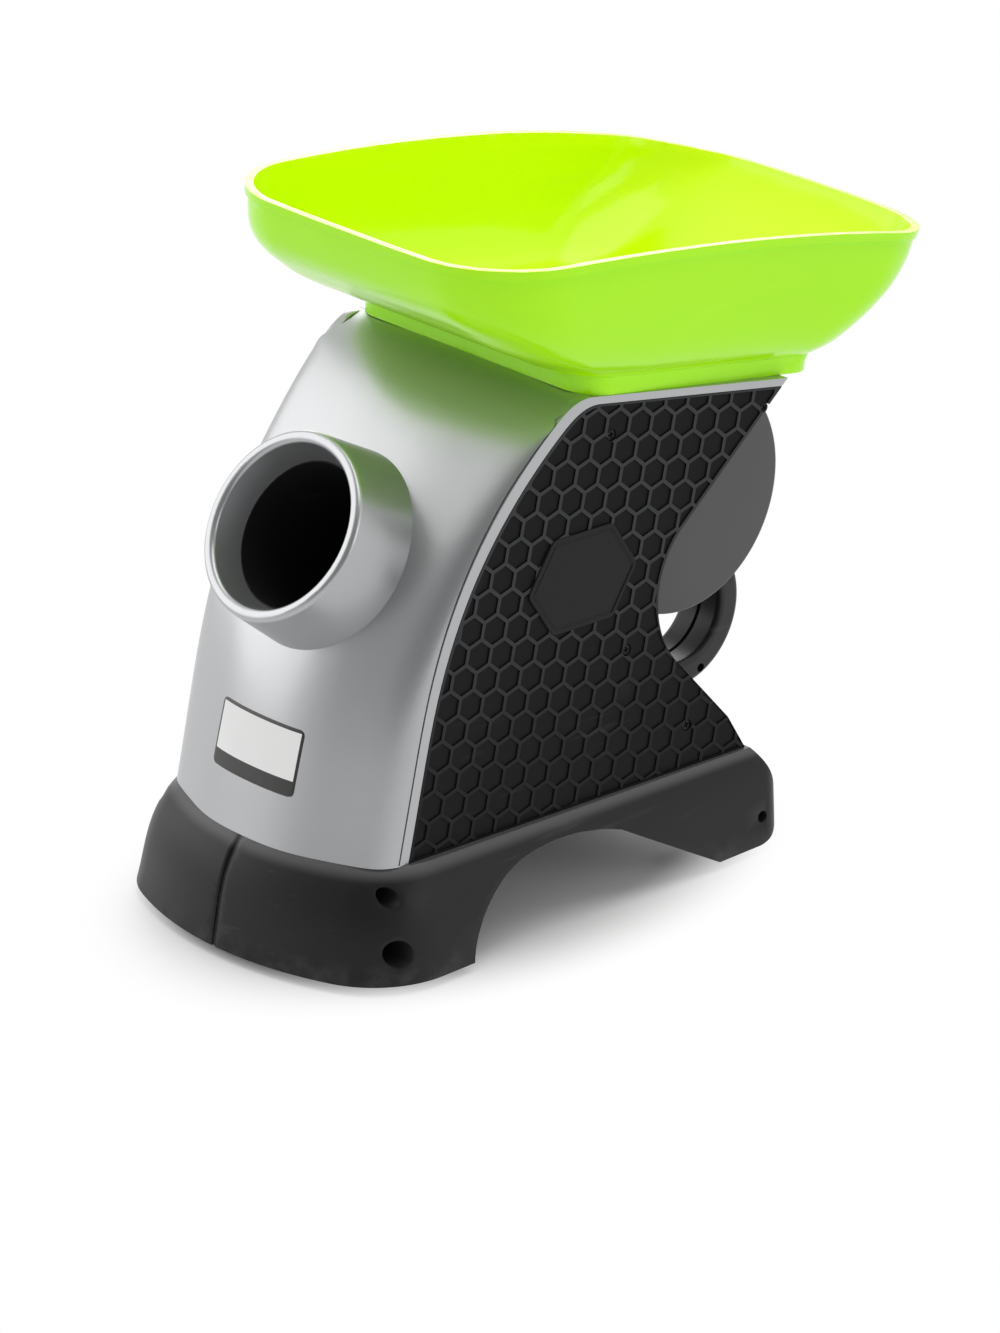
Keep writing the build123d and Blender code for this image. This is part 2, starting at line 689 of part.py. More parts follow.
SHELF_TOP = -WHEEL_WIDTH / 2 - SHELF_GAP
MOTOR_TOP = SHELF_TOP - SHELF_THICKNESS


# Barrel: a tube with a slot for each wheel and a shelf for each motor
def make_barrel():
    outer = BARREL_RADIUS + BARREL_WALL
    tube = launch_bar(outer, THROAT_DEPTH, bend_station() + outer)
    for side in (-1, 1):
        reach = WHEEL_MOTOR_RADIUS + WHEEL_RADIUS
        shelf = Box(reach + WHEEL_RADIUS, 2 * SHELF_HALF_LENGTH, SHELF_THICKNESS)
        shift = side * (WHEEL_MOTOR_RADIUS - reach) / 2
        tube = tube + wheel_plane(side) * Pos(shift, 0, SHELF_TOP - SHELF_THICKNESS / 2) * shelf
    tube = tube - launch_bar(BARREL_RADIUS, -OVERRUN, FAR) - beyond_bend(1)
    for side in (-1, 1):
        slot_width = WHEEL_WIDTH + 2 * SLOT_GAP
        tube = tube - wheel_bar(side, WHEEL_RADIUS + SLOT_GAP, -slot_width / 2, slot_width / 2)
        tube = tube - wheel_bar(side, 2 * WHEEL_SHAFT_RADIUS, MOTOR_TOP - OVERRUN, 0)
    return tube


def make_wheel_tyre(side):
    tyre = wheel_bar(side, WHEEL_RADIUS, -WHEEL_WIDTH / 2, WHEEL_WIDTH / 2)
    return tyre - wheel_bar(side, HUB_RADIUS, -WHEEL_WIDTH, WHEEL_WIDTH)


def make_wheel_hub(side):
    hub = wheel_bar(side, HUB_RADIUS, -WHEEL_WIDTH / 2, WHEEL_WIDTH / 2)
    web = WHEEL_WIDTH / 5
    for high, low in ((WHEEL_WIDTH, web / 2), (-web / 2, -WHEEL_WIDTH)):
        groove = wheel_bar(side, HUB_RADIUS - WHEEL_SHAFT_RADIUS, low, high)
        hub = hub - (groove - wheel_bar(side, 3 * WHEEL_SHAFT_RADIUS, -WHEEL_WIDTH, WHEEL_WIDTH))
    return hub - wheel_bar(side, WHEEL_SHAFT_RADIUS, -WHEEL_WIDTH, WHEEL_WIDTH)


def make_wheel_shaft(side):
    return wheel_bar(side, WHEEL_SHAFT_RADIUS, MOTOR_TOP - WHEEL_MOTOR_LENGTH + FIT_GAP, WHEEL_WIDTH / 2)


def make_wheel_motor(side):
    low = MOTOR_TOP - WHEEL_MOTOR_LENGTH
    motor = wheel_bar(side, WHEEL_MOTOR_RADIUS, low, MOTOR_TOP)
    motor = motor + wheel_bar(side, WHEEL_MOTOR_RADIUS / 3, low - WHEEL_SHAFT_RADIUS, low)
    return motor - wheel_bar(side, WHEEL_SHAFT_RADIUS + RUN_GAP, low, MOTOR_TOP + OVERRUN)


# Frame of the hopper's sloping seat: x across, y back along the slope, z out of it
def seat_plane(height):
    tilt = radians(SEAT_TILT)
    up = (0, sin(tilt), cos(tilt))
    at = Vector(0, fore(COLLAR_FRONT), seat_height(COLLAR_FRONT)) + Vector(*up) * height
    return Plane(origin=at, x_dir=(1, 0, 0), z_dir=up)


# Rounded plan outline of the hopper on its sloping frame
def hopper_section(height, front, rear, half, corner):
    tilt = radians(SEAT_TILT)
    middle = (front + rear) / 2 - COLLAR_FRONT - height * sin(tilt)
    outline = Pos(0, middle / cos(tilt)) * RectangleRounded(2 * half, (rear - front) / cos(tilt), corner)
    return (seat_plane(height) * outline).face().outer_wire()


# Tray of the hopper as a solid form; grow widens it, lift raises it
def tray_loft(grow, lift):
    rim_rear = OVERALL_LENGTH - LIP_PROUD
    rim_half = OVERALL_WIDTH / 2 - LIP_PROUD
    rows = zip(TRAY_LEVEL_SHARES, TRAY_FRONT_SHARES, TRAY_SIDE_SHARES, TRAY_REAR_SHARES)
    sections = []
    for level_share, front_share, side_share, rear_share in rows:
        height = COLLAR_HEIGHT + level_share * (TRAY_HEIGHT - COLLAR_HEIGHT) + lift
        front = COLLAR_FRONT + front_share * (RIM_FRONT - COLLAR_FRONT) - grow
        rear = COLLAR_REAR + rear_share * (rim_rear - COLLAR_REAR) + grow
        half = COLLAR_HALF_WIDTH + side_share * (rim_half - COLLAR_HALF_WIDTH) + grow
        corner = COLLAR_CORNER + front_share * (RIM_CORNER - COLLAR_CORNER) + grow
        sections.append(hopper_section(height, front, rear, half, corner))
    return Solid.make_loft(sections)


# Everything under the bowed top line of the rim, lowered by a drop
def under_rim(drop):
    rear = OVERALL_LENGTH
    top = OVERALL_HEIGHT - drop
    low = top - RIM_DROP
    front = RIM_FRONT - LIP_PROUD
    front_point = side_point(front, top)
    middle_point = side_point((front + rear) / 2, (top + low) / 2 + RIM_CROWN)
    rear_point = side_point(rear, low)
    out_front = side_point(front - OVERRUN, top)
    out_rear = side_point(rear + OVERRUN, low)
    floor_rear = side_point(rear + OVERRUN, 0)
    floor_front = side_point(front - OVERRUN, 0)
    return across([
        Line(out_front, front_point),
        ThreePointArc(front_point, middle_point, rear_point),
        Line(rear_point, out_rear),
        Line(out_rear, floor_rear),
        Line(floor_rear, floor_front),
        Line(floor_front, out_front),
    ])


# Hopper: a thin tray with a rolled lip, a collar, a floor and a spout to the drum
def make_hopper():
    outer = tray_loft(0, 0)
    inner = tray_loft(-HOPPER_WALL, HOPPER_WALL)
    tray = (outer & under_rim(0)) - inner
    lip = (tray_loft(LIP_PROUD, 0) & under_rim(0)) - under_rim(LIP_HEIGHT) - inner
    collar_face = hopper_section(0, COLLAR_FRONT, COLLAR_REAR, COLLAR_HALF_WIDTH, COLLAR_CORNER)
    up = seat_plane(0).z_dir
    collar = extrude(Face(collar_face), amount=COLLAR_HEIGHT, dir=up)
    room_face = hopper_section(0, COLLAR_FRONT + HOPPER_WALL, COLLAR_REAR - HOPPER_WALL,
                               COLLAR_HALF_WIDTH - HOPPER_WALL, COLLAR_CORNER - HOPPER_WALL)
    room = extrude(Face(room_face), amount=TRAY_HEIGHT / 2, dir=up)
    above_floor = seat_plane(HOPPER_FLOOR) * Pos(0, 0, FAR / 2) * Box(FAR, FAR, FAR)
    spout_top = seat_height(SPOUT_AT) + HOPPER_FLOOR / 2
    spout = upright_bar(SPOUT_RADIUS + SPOUT_WALL, DRUM_HEIGHT, spout_top, SPOUT_AT)
    spout = spout - bar_across(DRUM_RADIUS + FIT_GAP, FAR, 0, *DRUM_PLACE)
    hopper = tray + lip + collar + spout
    hopper = hopper - (room & above_floor)
    return hopper - upright_bar(SPOUT_RADIUS, 0, OVERALL_HEIGHT, SPOUT_AT)


# Drum cover: half a round box with a mouth above, one in front and a slot for the pinion
def make_drum_cover(side):
    drum = bar_across(DRUM_RADIUS, 2 * DRUM_HALF_WIDTH, 0, *DRUM_PLACE)
    drum = fillet(drum.edges().filter_by(GeomType.CIRCLE), DRUM_ROUND)
    inner_half = DRUM_HALF_WIDTH - DRUM_WALL
    room = bar_across(DRUM_RADIUS - DRUM_WALL, 2 * inner_half, 0, *DRUM_PLACE)
    bush_radius = TRUNNION_RADIUS + RUN_GAP + BUSH_WALL
    for end in (-1, 1):
        wall = end * inner_half
        boss = bar_between(bush_radius + BOSS_WALL, wall - end * BOSS_LENGTH, wall, *DRUM_PLACE)
        hole = bar_between(bush_radius, wall - 2 * end * BOSS_LENGTH, wall, *DRUM_PLACE)
        room = room - (boss - hole)
    drum = drum - room
    mouth = upright_bar(SPOUT_RADIUS, DRUM_HEIGHT, DRUM_HEIGHT + 2 * DRUM_RADIUS, SPOUT_AT)
    drum = drum - (mouth & bar_across(FAR, 2 * inner_half, 0, *DRUM_PLACE))
    drum = drum - chute_bar(BARREL_RADIUS, 0, 2 * DRUM_RADIUS)
    tip = PINION_TEETH * GEAR_MODULE / 2 + GEAR_MODULE
    slot_start = ROTOR_HALF_WIDTH - SLOT_GAP
    slot_end = ROTOR_HALF_WIDTH + GEAR_WIDTH + SLOT_GAP
    drum = drum - bar_between(tip + SLOT_GAP, slot_start, slot_end, *pinion_place())
    return one_half(drum, side)


# A round bar on the chute's line, measured forward from the drum's centre
def chute_bar(radius, start, end):
    plane = drum_plane(180 + CHUTE_FALL)
    return plane * Pos(0, 0, (start + end) / 2) * Cylinder(radius, end - start)


# Chute: an open trough from the drum down to the end of the barrel
def make_chute():
    reach = DRUM_AT - MUZZLE_AT
    trough = chute_bar(BARREL_RADIUS + BARREL_WALL, DRUM_RADIUS / 2, reach)
    trough = trough - chute_bar(BARREL_RADIUS, 0, FAR)
    plane = drum_plane(180 + CHUTE_FALL)
    upper = plane * Pos(0, FAR / 2, reach / 2) * Box(FAR, FAR, FAR)
    trough = trough - upper
    trough = trough - beyond_bend(-1)
    return trough - bar_across(DRUM_RADIUS + FIT_GAP, FAR, 0, *DRUM_PLACE)


# Where the handle's screw sits, as distance and height
def handle_hole_place():
    turn = radians(HANDLE_HOLE_ANGLE)
    middle = HANDLE_BORE + HANDLE_THICKNESS * 2 / 3
    return HANDLE_AT + middle * cos(turn), HANDLE_HEIGHT + middle * sin(turn)


# Handle half: a C-shaped bar that runs from under the drum to the back wall
def make_handle_half(side):
    outer = HANDLE_BORE + HANDLE_THICKNESS
    ring = bar_across(outer, 2 * HANDLE_HALF_WIDTH, 0, HANDLE_AT, HANDLE_HEIGHT)
    ring = ring - bar_across(HANDLE_BORE, FAR, 0, HANDLE_AT, HANDLE_HEIGHT)
    ahead = Pos(0, fore(HANDLE_AT) - FAR / 2, 0) * Box(FAR, FAR, FAR)
    ring = ring - ahead
    arm_start = BODY_FRONT + SLOPE_END_SHARES[0] * BODY_LENGTH - REAR_WALL
    arm_size = (2 * HANDLE_HALF_WIDTH, HANDLE_AT - arm_start, HANDLE_THICKNESS)
    arm_height = HANDLE_HEIGHT - HANDLE_BORE - HANDLE_THICKNESS / 2
    arm = Pos(0, fore((HANDLE_AT + arm_start) / 2), arm_height) * Box(*arm_size)
    handle = ring + arm
    sides = handle.edges().filter_by(GeomType.CIRCLE)
    handle = fillet(sides, HANDLE_ROUND)
    handle = handle - bar_across(DRUM_RADIUS, FAR, 0, *DRUM_PLACE)
    handle = handle - across(body_outline())
    floor = HANDLE_HALF_WIDTH - HANDLE_HOLE_DEPTH
    for end in (-1, 1):
        handle = handle - bar_between(HANDLE_HOLE, end * floor, end * FAR, *handle_hole_place())
    seam = bar_across(HANDLE_BORE + HANDLE_SEAM, 2 * HANDLE_SEAM, 0, HANDLE_AT, HANDLE_HEIGHT)
    seam = seam + (bar_across(FAR, 2 * HANDLE_SEAM, 0, HANDLE_AT, HANDLE_HEIGHT)
                   - bar_across(outer - HANDLE_SEAM, FAR, 0, HANDLE_AT, HANDLE_HEIGHT) - ahead)
    return one_half(handle - seam, side)


def make_handle_screws():
    floor = HANDLE_HALF_WIDTH - HANDLE_HOLE_DEPTH
    top = floor + SCREW_HEAD_HEIGHT
    place = handle_hole_place()
    return [bar_between(HANDLE_HOLE - FIT_GAP, end * floor, end * top, *place) for end in (-1, 1)]


# Plane on the outside of the sloping back wall: x across, z straight out
def control_plane(side, share):
    start = body_place(*NOTCH_SHARES[2])
    end = body_place(*SLOPE_END_SHARES)
    at = [a + share * (b - a) for a, b in zip(start, end)]
    run = hypot(end[0] - start[0], end[1] - start[1])
    out = (0, (start[1] - end[1]) / run, (end[0] - start[0]) / run)
    return Plane(origin=(side * CONTROL_SIDE, fore(at[0]), at[1]), x_dir=(1, 0, 0), z_dir=out)


# A turned piece on a control's axis between two heights over the wall
def control_bar(side, share, radius, low, high):
    return control_plane(side, share) * Pos(0, 0, (low + high) / 2) * Cylinder(radius, high - low)


BOARD_TOP = -REAR_WALL - BUTTON_FLANGE_THICKNESS - FIT_GAP - BUTTON_TRAVEL - SWITCH_SIZE / 2 - FIT_GAP


# Rear shell: the S-shaped back wall between the frames, cut round the drum
def make_rear_shell(side):
    wall = across(body_outline()) - across(body_outline(-REAR_WALL))
    wall = wall - across(body_outline(-REAR_WALL, REAR_WALL / 2))
    rear_start = BODY_FRONT + NOTCH_SHARES[1][0] * BODY_LENGTH - 2 * REAR_WALL
    wall = wall & Pos(0, fore(rear_start) + FAR / 2, 0) * Box(FAR, FAR, FAR)
    wall = wall & between_frames(FIT_GAP / 2)
    wall = wall - bar_across(DRUM_RADIUS + FIT_GAP, 2 * (DRUM_HALF_WIDTH + FIT_GAP), 0, *DRUM_PLACE)
    wall = wall - chute_bar(BARREL_RADIUS + BARREL_WALL + FIT_GAP, 0, DRUM_AT - MUZZLE_AT)
    wall = wall - upright_bar(SPOUT_RADIUS + SPOUT_WALL + FIT_GAP, DRUM_HEIGHT, OVERALL_HEIGHT, SPOUT_AT)
    if side > 0:
        for share in (POWER_SHARE, DISTANCE_SHARE):
            wall = wall - control_bar(side, share, BUTTON_RADIUS + FIT_GAP, -2 * REAR_WALL, OVERRUN)
        middle = control_plane(side, (POWER_SHARE + DISTANCE_SHARE) / 2)
        reach = BOARD_WIDTH / 2 - POST_RADIUS
        post = Cylinder(POST_RADIUS, -BOARD_TOP - REAR_WALL / 2)
        for end in (-1, 1):
            wall = wall + middle * Pos(end * reach, 0, (BOARD_TOP - REAR_WALL / 2) / 2) * post
    else:
        wall = wall - control_bar(side, JACK_SHARE, JACK_RADIUS + FIT_GAP / 2, -2 * REAR_WALL, OVERRUN)
    return one_half(wall, side)


def make_button(share):
    plane = control_plane(1, share)
    cap = control_bar(1, share, BUTTON_RADIUS, -REAR_WALL - FIT_GAP, BUTTON_RISE)
    top = cap.faces().sort_by(Axis(plane.origin, plane.z_dir))[-1]
    cap = fillet(top.edges(), BUTTON_ROUND)
    low = -REAR_WALL - FIT_GAP - BUTTON_FLANGE_THICKNESS
    return cap + control_bar(1, share, BUTTON_RADIUS + BUTTON_FLANGE, low, -REAR_WALL - FIT_GAP)


def make_circuit_board():
    middle = control_plane(1, (POWER_SHARE + DISTANCE_SHARE) / 2)
    board = Box(BOARD_WIDTH, BOARD_LENGTH, BOARD_THICKNESS)
    board = middle * Pos(0, 0, BOARD_TOP - BOARD_THICKNESS / 2) * board
    for share in (POWER_SHARE, DISTANCE_SHARE):
        switch = Box(SWITCH_SIZE, SWITCH_SIZE, SWITCH_SIZE / 2)
        board = board + control_plane(1, share) * Pos(0, 0, BOARD_TOP + SWITCH_SIZE / 4) * switch
    return board


def make_dc_jack():
    jack = control_bar(-1, JACK_SHARE, JACK_RADIUS, -JACK_LENGTH, 0)
    jack = jack + control_bar(-1, JACK_SHARE, JACK_RADIUS + JACK_FLANGE, 0, JACK_FLANGE_THICKNESS)
    bore = control_bar(-1, JACK_SHARE, JACK_BORE, -JACK_LENGTH * 3 / 4, OVERRUN)
    pin = control_bar(-1, JACK_SHARE, JACK_PIN, -JACK_LENGTH * 3 / 4, 0)
    return jack - (bore - pin)


# Rotor: a solid drum on two trunnions, with one pocket that holds a ball
def make_feed_rotor():
    radius = DRUM_RADIUS - DRUM_WALL - ROTOR_GAP
    rotor = bar_across(radius, 2 * ROTOR_HALF_WIDTH, 0, *DRUM_PLACE)
    pocket_turn = degrees(atan2(DRUM_RADIUS, SPOUT_AT - DRUM_AT))
    plane = drum_plane(pocket_turn)
    pocket = Pos(0, 0, POCKET_SEAT) * Sphere(POCKET_RADIUS)
    pocket = pocket + Pos(0, 0, POCKET_SEAT + FAR / 2) * Cylinder(POCKET_RADIUS, FAR)
    rotor = rotor - plane * pocket
    end = DRUM_HALF_WIDTH - DRUM_WALL - FIT_GAP
    for side in (-1, 1):
        rotor = rotor + bar_between(TRUNNION_RADIUS, side * ROTOR_HALF_WIDTH, side * end, *DRUM_PLACE)
    return rotor


def make_feed_bushes():
    bushes = []
    bore = TRUNNION_RADIUS + RUN_GAP
    for side in (-1, 1):
        wall = side * (DRUM_HALF_WIDTH - DRUM_WALL)
        bush = bar_between(bore + BUSH_WALL, wall - side * BOSS_LENGTH, wall, *DRUM_PLACE)
        bushes.append(bush - bar_across(bore, FAR, 0, *DRUM_PLACE))
    return bushes


# A spur gear beside the rotor, with one tooth centred on a given angle
def spur_gear(teeth, bore, tooth_angle, place):
    pitch_radius = teeth * GEAR_MODULE / 2
    tip = pitch_radius + TOOTH_RISE_SHARE * GEAR_MODULE
    root = pitch_radius - TOOTH_DEPTH_SHARE * GEAR_MODULE
    half_tooth = pi / (2 * teeth) - TOOTH_BACKLASH / 2 / pitch_radius
    slope = tan(radians(PRESSURE_ANGLE))
    half_tip = half_tooth - slope * (tip - pitch_radius) / pitch_radius
    half_root = half_tooth + slope * (pitch_radius - root) / pitch_radius
    points = []
    for i in range(teeth):
        centre = radians(tooth_angle) + 2 * pi * i / teeth
        for radius, turn in ((root, -half_root), (tip, -half_tip), (tip, half_tip), (root, half_root)):
            angle = centre + turn
            along = fore(place[0]) + radius * cos(angle)
            points.append((ROTOR_HALF_WIDTH, along, place[1] + radius * sin(angle)))
    gear = extrude(Face(Wire(joined_lines(points))), amount=GEAR_WIDTH, dir=(1, 0, 0))
    return gear - bar_across(bore, FAR, 0, *place)


def pinion_place():
    spread = (GEAR_TEETH + PINION_TEETH) * GEAR_MODULE / 2
    turn = radians(PINION_ANGLE)
    return DRUM_AT + spread * cos(turn), DRUM_HEIGHT + spread * sin(turn)


def make_feed_gear():
    tooth_angle = PINION_ANGLE + 180 / GEAR_TEETH
    return spur_gear(GEAR_TEETH, TRUNNION_RADIUS, tooth_angle, DRUM_PLACE)


def make_feed_pinion():
    return spur_gear(PINION_TEETH, FEED_SHAFT_RADIUS, PINION_ANGLE + 180, pinion_place())


FEED_MOTOR_FRONT = DRUM_HALF_WIDTH + FEED_BRACKET_THICKNESS


def make_pinion_shaft():
    end = FEED_MOTOR_FRONT + FEED_MOTOR_LENGTH / 2
    return bar_between(FEED_SHAFT_RADIUS, ROTOR_HALF_WIDTH, end, *pinion_place())


def make_feed_motor():
    back = FEED_MOTOR_FRONT + FEED_MOTOR_LENGTH
    motor = bar_between(FEED_MOTOR_RADIUS, FEED_MOTOR_FRONT, back, *pinion_place())
    end = FEED_MOTOR_FRONT + FEED_MOTOR_LENGTH / 2 + FIT_GAP
    return motor - bar_between(FEED_SHAFT_RADIUS + RUN_GAP, 0, end, *pinion_place())


def make_feed_bracket():
    plate = bar_between(FEED_BRACKET_RADIUS, DRUM_HALF_WIDTH, FEED_MOTOR_FRONT, *pinion_place())
    return plate - bar_across(2 * FEED_SHAFT_RADIUS, FAR, 0, *pinion_place())


# Battery box: an upside-down tray in the base, closed below by the door
def make_battery_box():
    bottom = ARCH_CROWN_HEIGHT + DOOR_THICKNESS + FIT_GAP
    box = battery_block(0, bottom, BATTERY_TOP)
    return box - battery_block(-BATTERY_WALL, bottom - OVERRUN, BATTERY_TOP - BATTERY_WALL)


def cell_places():
    pitch = 2 * CELL_RADIUS + FIT_GAP
    rows = [BATTERY_AT + (i - (CELL_ROWS - 1) / 2) * pitch for i in range(CELL_ROWS)]
    return [(side, distance) for distance in rows for side in (-1, 1)]


def make_battery_cells():
    cells = []
    for side, distance in cell_places():
        end = side * CELL_LENGTH
        nub_end = end + side * CELL_NUB_HEIGHT
        cell = bar_between(CELL_RADIUS, side * FIT_GAP, end, distance, CELL_HEIGHT)
        cells.append(cell + bar_between(CELL_NUB_RADIUS, end, nub_end, distance, CELL_HEIGHT))
    return cells


def make_battery_contacts():
    start = CELL_LENGTH + CELL_NUB_HEIGHT + FIT_GAP
    end = start + CONTACT_THICKNESS
    return [bar_between(CONTACT_RADIUS, side * start, side * end, distance, CELL_HEIGHT)
            for side, distance in cell_places()]


# Battery door: a piece of the arch's own curve
def make_battery_door():
    door = battery_block(0, 0, BASE_TOP) & (Pos(0, 0, DOOR_THICKNESS) * arch_block(0))
    return door - arch_block(0)


def save(node, shapes):
    solids = shapes if isinstance(shapes, list) else [shapes]
    pieces = [solid for shape in solids for solid in shape.solids()]
    export_step(pieces[0] if len(pieces) == 1 else Compound(children=pieces), f"parts/{node}.step")


os.makedirs("parts", exist_ok=True)
nose = nose_loft(0, 0)
save("hopper", make_hopper())
save("front_shell", make_front_shell(nose))
save("nozzle", make_nozzle(nose))
save("launch_barrel", make_barrel())
save("ball_chute", make_chute())
save("right_side_frame", make_side_frame())
save("left_side_frame", mirrored(make_side_frame()))
side_panel = make_side_panel()
save("right_side_panel", side_panel)
save("left_side_panel", mirrored(side_panel))
for name, side in (("left", -1), ("right", 1)):
    save(f"{name}_base_half", make_base_half(side))
    save(f"{name}_rear_shell", make_rear_shell(side))
    save(f"{name}_drum_cover", make_drum_cover(side))
    save(f"{name}_handle_half", make_handle_half(side))
    save(f"{name}_wheel_tyre", make_wheel_tyre(side))
    save(f"{name}_wheel_hub", make_wheel_hub(side))
    save(f"{name}_wheel_shaft", make_wheel_shaft(side))
    save(f"{name}_wheel_motor", make_wheel_motor(side))
save("rubber_feet", make_rubber_feet())
save("base_screws", make_base_screws())
save("panel_screws", make_panel_screws())
save("handle_screws", make_handle_screws())
save("feed_rotor", make_feed_rotor())
save("feed_gear", make_feed_gear())
save("feed_bushes", make_feed_bushes())
save("feed_pinion", make_feed_pinion())
save("feed_pinion_shaft", make_pinion_shaft())
save("feed_motor", make_feed_motor())
save("feed_motor_bracket", make_feed_bracket())
save("battery_box", make_battery_box())
save("battery_cells", make_battery_cells())
save("battery_contacts", make_battery_contacts())
save("battery_door", make_battery_door())
save("circuit_board", make_circuit_board())
save("power_button", make_button(POWER_SHARE))
save("distance_button", make_button(DISTANCE_SHARE))
save("dc_jack", make_dc_jack())
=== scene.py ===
from math import atan2, cos, pi, radians, sin, tau

import bmesh
import bpy
import numpy as np
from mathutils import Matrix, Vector
from mathutils.bvhtree import BVHTree


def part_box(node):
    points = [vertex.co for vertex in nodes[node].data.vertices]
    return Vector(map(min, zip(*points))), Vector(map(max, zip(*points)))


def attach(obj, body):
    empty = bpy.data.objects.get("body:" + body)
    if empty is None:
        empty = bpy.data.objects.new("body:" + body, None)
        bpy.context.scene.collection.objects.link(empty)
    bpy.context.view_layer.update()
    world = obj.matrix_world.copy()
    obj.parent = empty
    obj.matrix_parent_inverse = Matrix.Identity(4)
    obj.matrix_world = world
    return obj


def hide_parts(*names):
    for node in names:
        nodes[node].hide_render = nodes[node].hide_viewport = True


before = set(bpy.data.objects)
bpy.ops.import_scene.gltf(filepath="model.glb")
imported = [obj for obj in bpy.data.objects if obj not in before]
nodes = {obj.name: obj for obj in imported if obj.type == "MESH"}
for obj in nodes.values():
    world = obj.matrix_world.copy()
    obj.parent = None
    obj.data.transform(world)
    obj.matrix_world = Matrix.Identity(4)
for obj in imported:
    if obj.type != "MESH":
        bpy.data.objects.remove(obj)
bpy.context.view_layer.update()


# Base: two black mouldings with a fine spark-eroded texture, joined down the middle of
# the bumper and hollow below. The battery door closes the well in the arch's ceiling.
# A lighter band along the top shoulder is a painted highlight.
MM = 0.001


# A value on a surface: sums, differences and products of values become Math nodes
class Value:
    def __init__(self, tree, socket=None):
        self.tree = tree
        self.socket = socket

    def node(self, kind, settings, inputs, output=0):
        made = self.tree.nodes.new(kind)
        for name, setting in settings.items():
            setattr(made, name, setting)
        for name, given in inputs.items():
            if isinstance(given, Value):
                self.tree.links.new(given.socket, made.inputs[name])
            else:
                made.inputs[name].default_value = given
        return Value(self.tree, made.outputs[output])

    def math(self, operation, first, second=0.0):
        return self.node("ShaderNodeMath", {"operation": operation}, {0: first, 1: second})

    def __add__(self, other):
        return self.math("ADD", self, other)

    def __radd__(self, other):
        return self.math("ADD", other, self)

    def __sub__(self, other):
        return self.math("SUBTRACT", self, other)

    def __rsub__(self, other):
        return self.math("SUBTRACT", other, self)

    def __mul__(self, other):
        return self.math("MULTIPLY", self, other)

    def __rmul__(self, other):
        return self.math("MULTIPLY", other, self)

    def along(self, axis):
        return self.node("ShaderNodeSeparateXYZ", {}, {0: self}, axis)

    def noise(self, scale, detail=3.0, stretch=(1, 1, 1)):
        place = self.node("ShaderNodeVectorMath", {"operation": "MULTIPLY"}, {0: self, 1: stretch})
        return place.node("ShaderNodeTexNoise", {}, {"Vector": place, "Scale": scale, "Detail": detail})

    def between(self, low, high):
        settings = {"interpolation_type": "SMOOTHSTEP"}
        inputs = {"Value": self, "From Min": low, "From Max": high}
        return self.node("ShaderNodeMapRange", settings, inputs)

    def mix(self, first, second):
        return self.node("ShaderNodeMix", {"data_type": "RGBA"}, {0: self, 6: first, 7: second}, 2)

    def bump(self, strength, depth):
        inputs = {"Strength": strength, "Distance": depth, "Height": self}
        return self.node("ShaderNodeBump", {}, inputs)

    def feed(self, shader, name):
        self.tree.links.new(self.socket, shader.inputs[name])


# A new finish: its material, its shader, and the place on the piece that its grain follows
def new_finish(name):
    material = bpy.data.materials.new(name)
    material.use_nodes = True
    tree = material.node_tree
    place = Value(tree).node("ShaderNodeTexCoord", {}, {}, "Object")
    return material, tree.nodes["Principled BSDF"], place


# A colour made darker or lighter by a factor
def shade(factor, colour):
    return (*[min(1.0, factor * part) for part in colour], 1)


def dress(material, *names):
    for name in names:
        nodes[name].data.materials.clear()
        nodes[name].data.materials.append(material)


# Rounds the sharp edges of a moulding by a small radius, and keeps its flat faces flat
def soften(name, radius, segments=2, angle=35):
    same_place, same_plane = 0.002 * MM, radians(0.2)
    piece = nodes[name]
    weld = piece.modifiers.new("joined facets", "WELD")
    weld.merge_threshold = same_place
    flat = piece.modifiers.new("flat faces", "DECIMATE")
    flat.decimate_type = "DISSOLVE"
    flat.angle_limit = same_plane
    edges = piece.modifiers.new("rounded edges", "BEVEL")
    edges.width = radius
    edges.segments = segments
    edges.limit_method = "ANGLE"
    edges.angle_limit = radians(angle)
    edges.harden_normals = True


# Fine scratches, gathered in a few patches
def scuffs(place):
    fine = place.noise(60, 5, (1, 0.25, 3)).between(0.6, 0.74)
    return fine * place.noise(9).between(0.45, 0.65)


def base_plastic():
    black = (0.0115, 0.0115, 0.012)
    worn_grey, dust_grey = (0.10, 0.10, 0.10, 1), (0.24, 0.23, 0.21, 1)
    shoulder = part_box("left_base_half")[1].z
    highlight_low, highlight_high = shoulder - 7 * MM, shoulder - 1 * MM
    dust_low, dust_high = 6 * MM, 20 * MM
    seam_half = 3.4 * MM
    material, shader, place = new_finish("textured black plastic")
    tone = place.noise(14, 4)
    pits = place.noise(1500, 2)
    scratch = scuffs(place)
    dust = (1 - place.along(2).between(dust_low, dust_high)) * place.noise(80, 4).between(0.42, 0.7)
    # Painted highlight: a lighter, glossier band just under the top shoulder, standing in for light caught
    # by its rounded edge
    painted_shoulder_highlight = place.along(2).between(highlight_low, highlight_high)
    seam = 1 - place.math("ABSOLUTE", place.along(0)).between(0.0, seam_half)
    colour = tone.mix(shade(0.82, black), shade(1.16, black))
    # The worn grey serves both the scratches and the painted shoulder highlight
    colour = (scratch * 0.22 + painted_shoulder_highlight * 0.85).mix(colour, worn_grey)
    (dust * 0.10).mix(colour, dust_grey).feed(shader, "Base Color")
    rough = tone * 0.10 + pits * 0.10 + scratch * 0.08 + dust * 0.12 - painted_shoulder_highlight * 0.08 + 0.30
    rough.feed(shader, "Roughness")
    (pits * 0.055 - scratch * 0.006 - seam * 0.6).bump(1.0, 1.0 * MM).feed(shader, "Normal")
    shader.inputs["Specular IOR Level"].default_value = 0.22
    return material


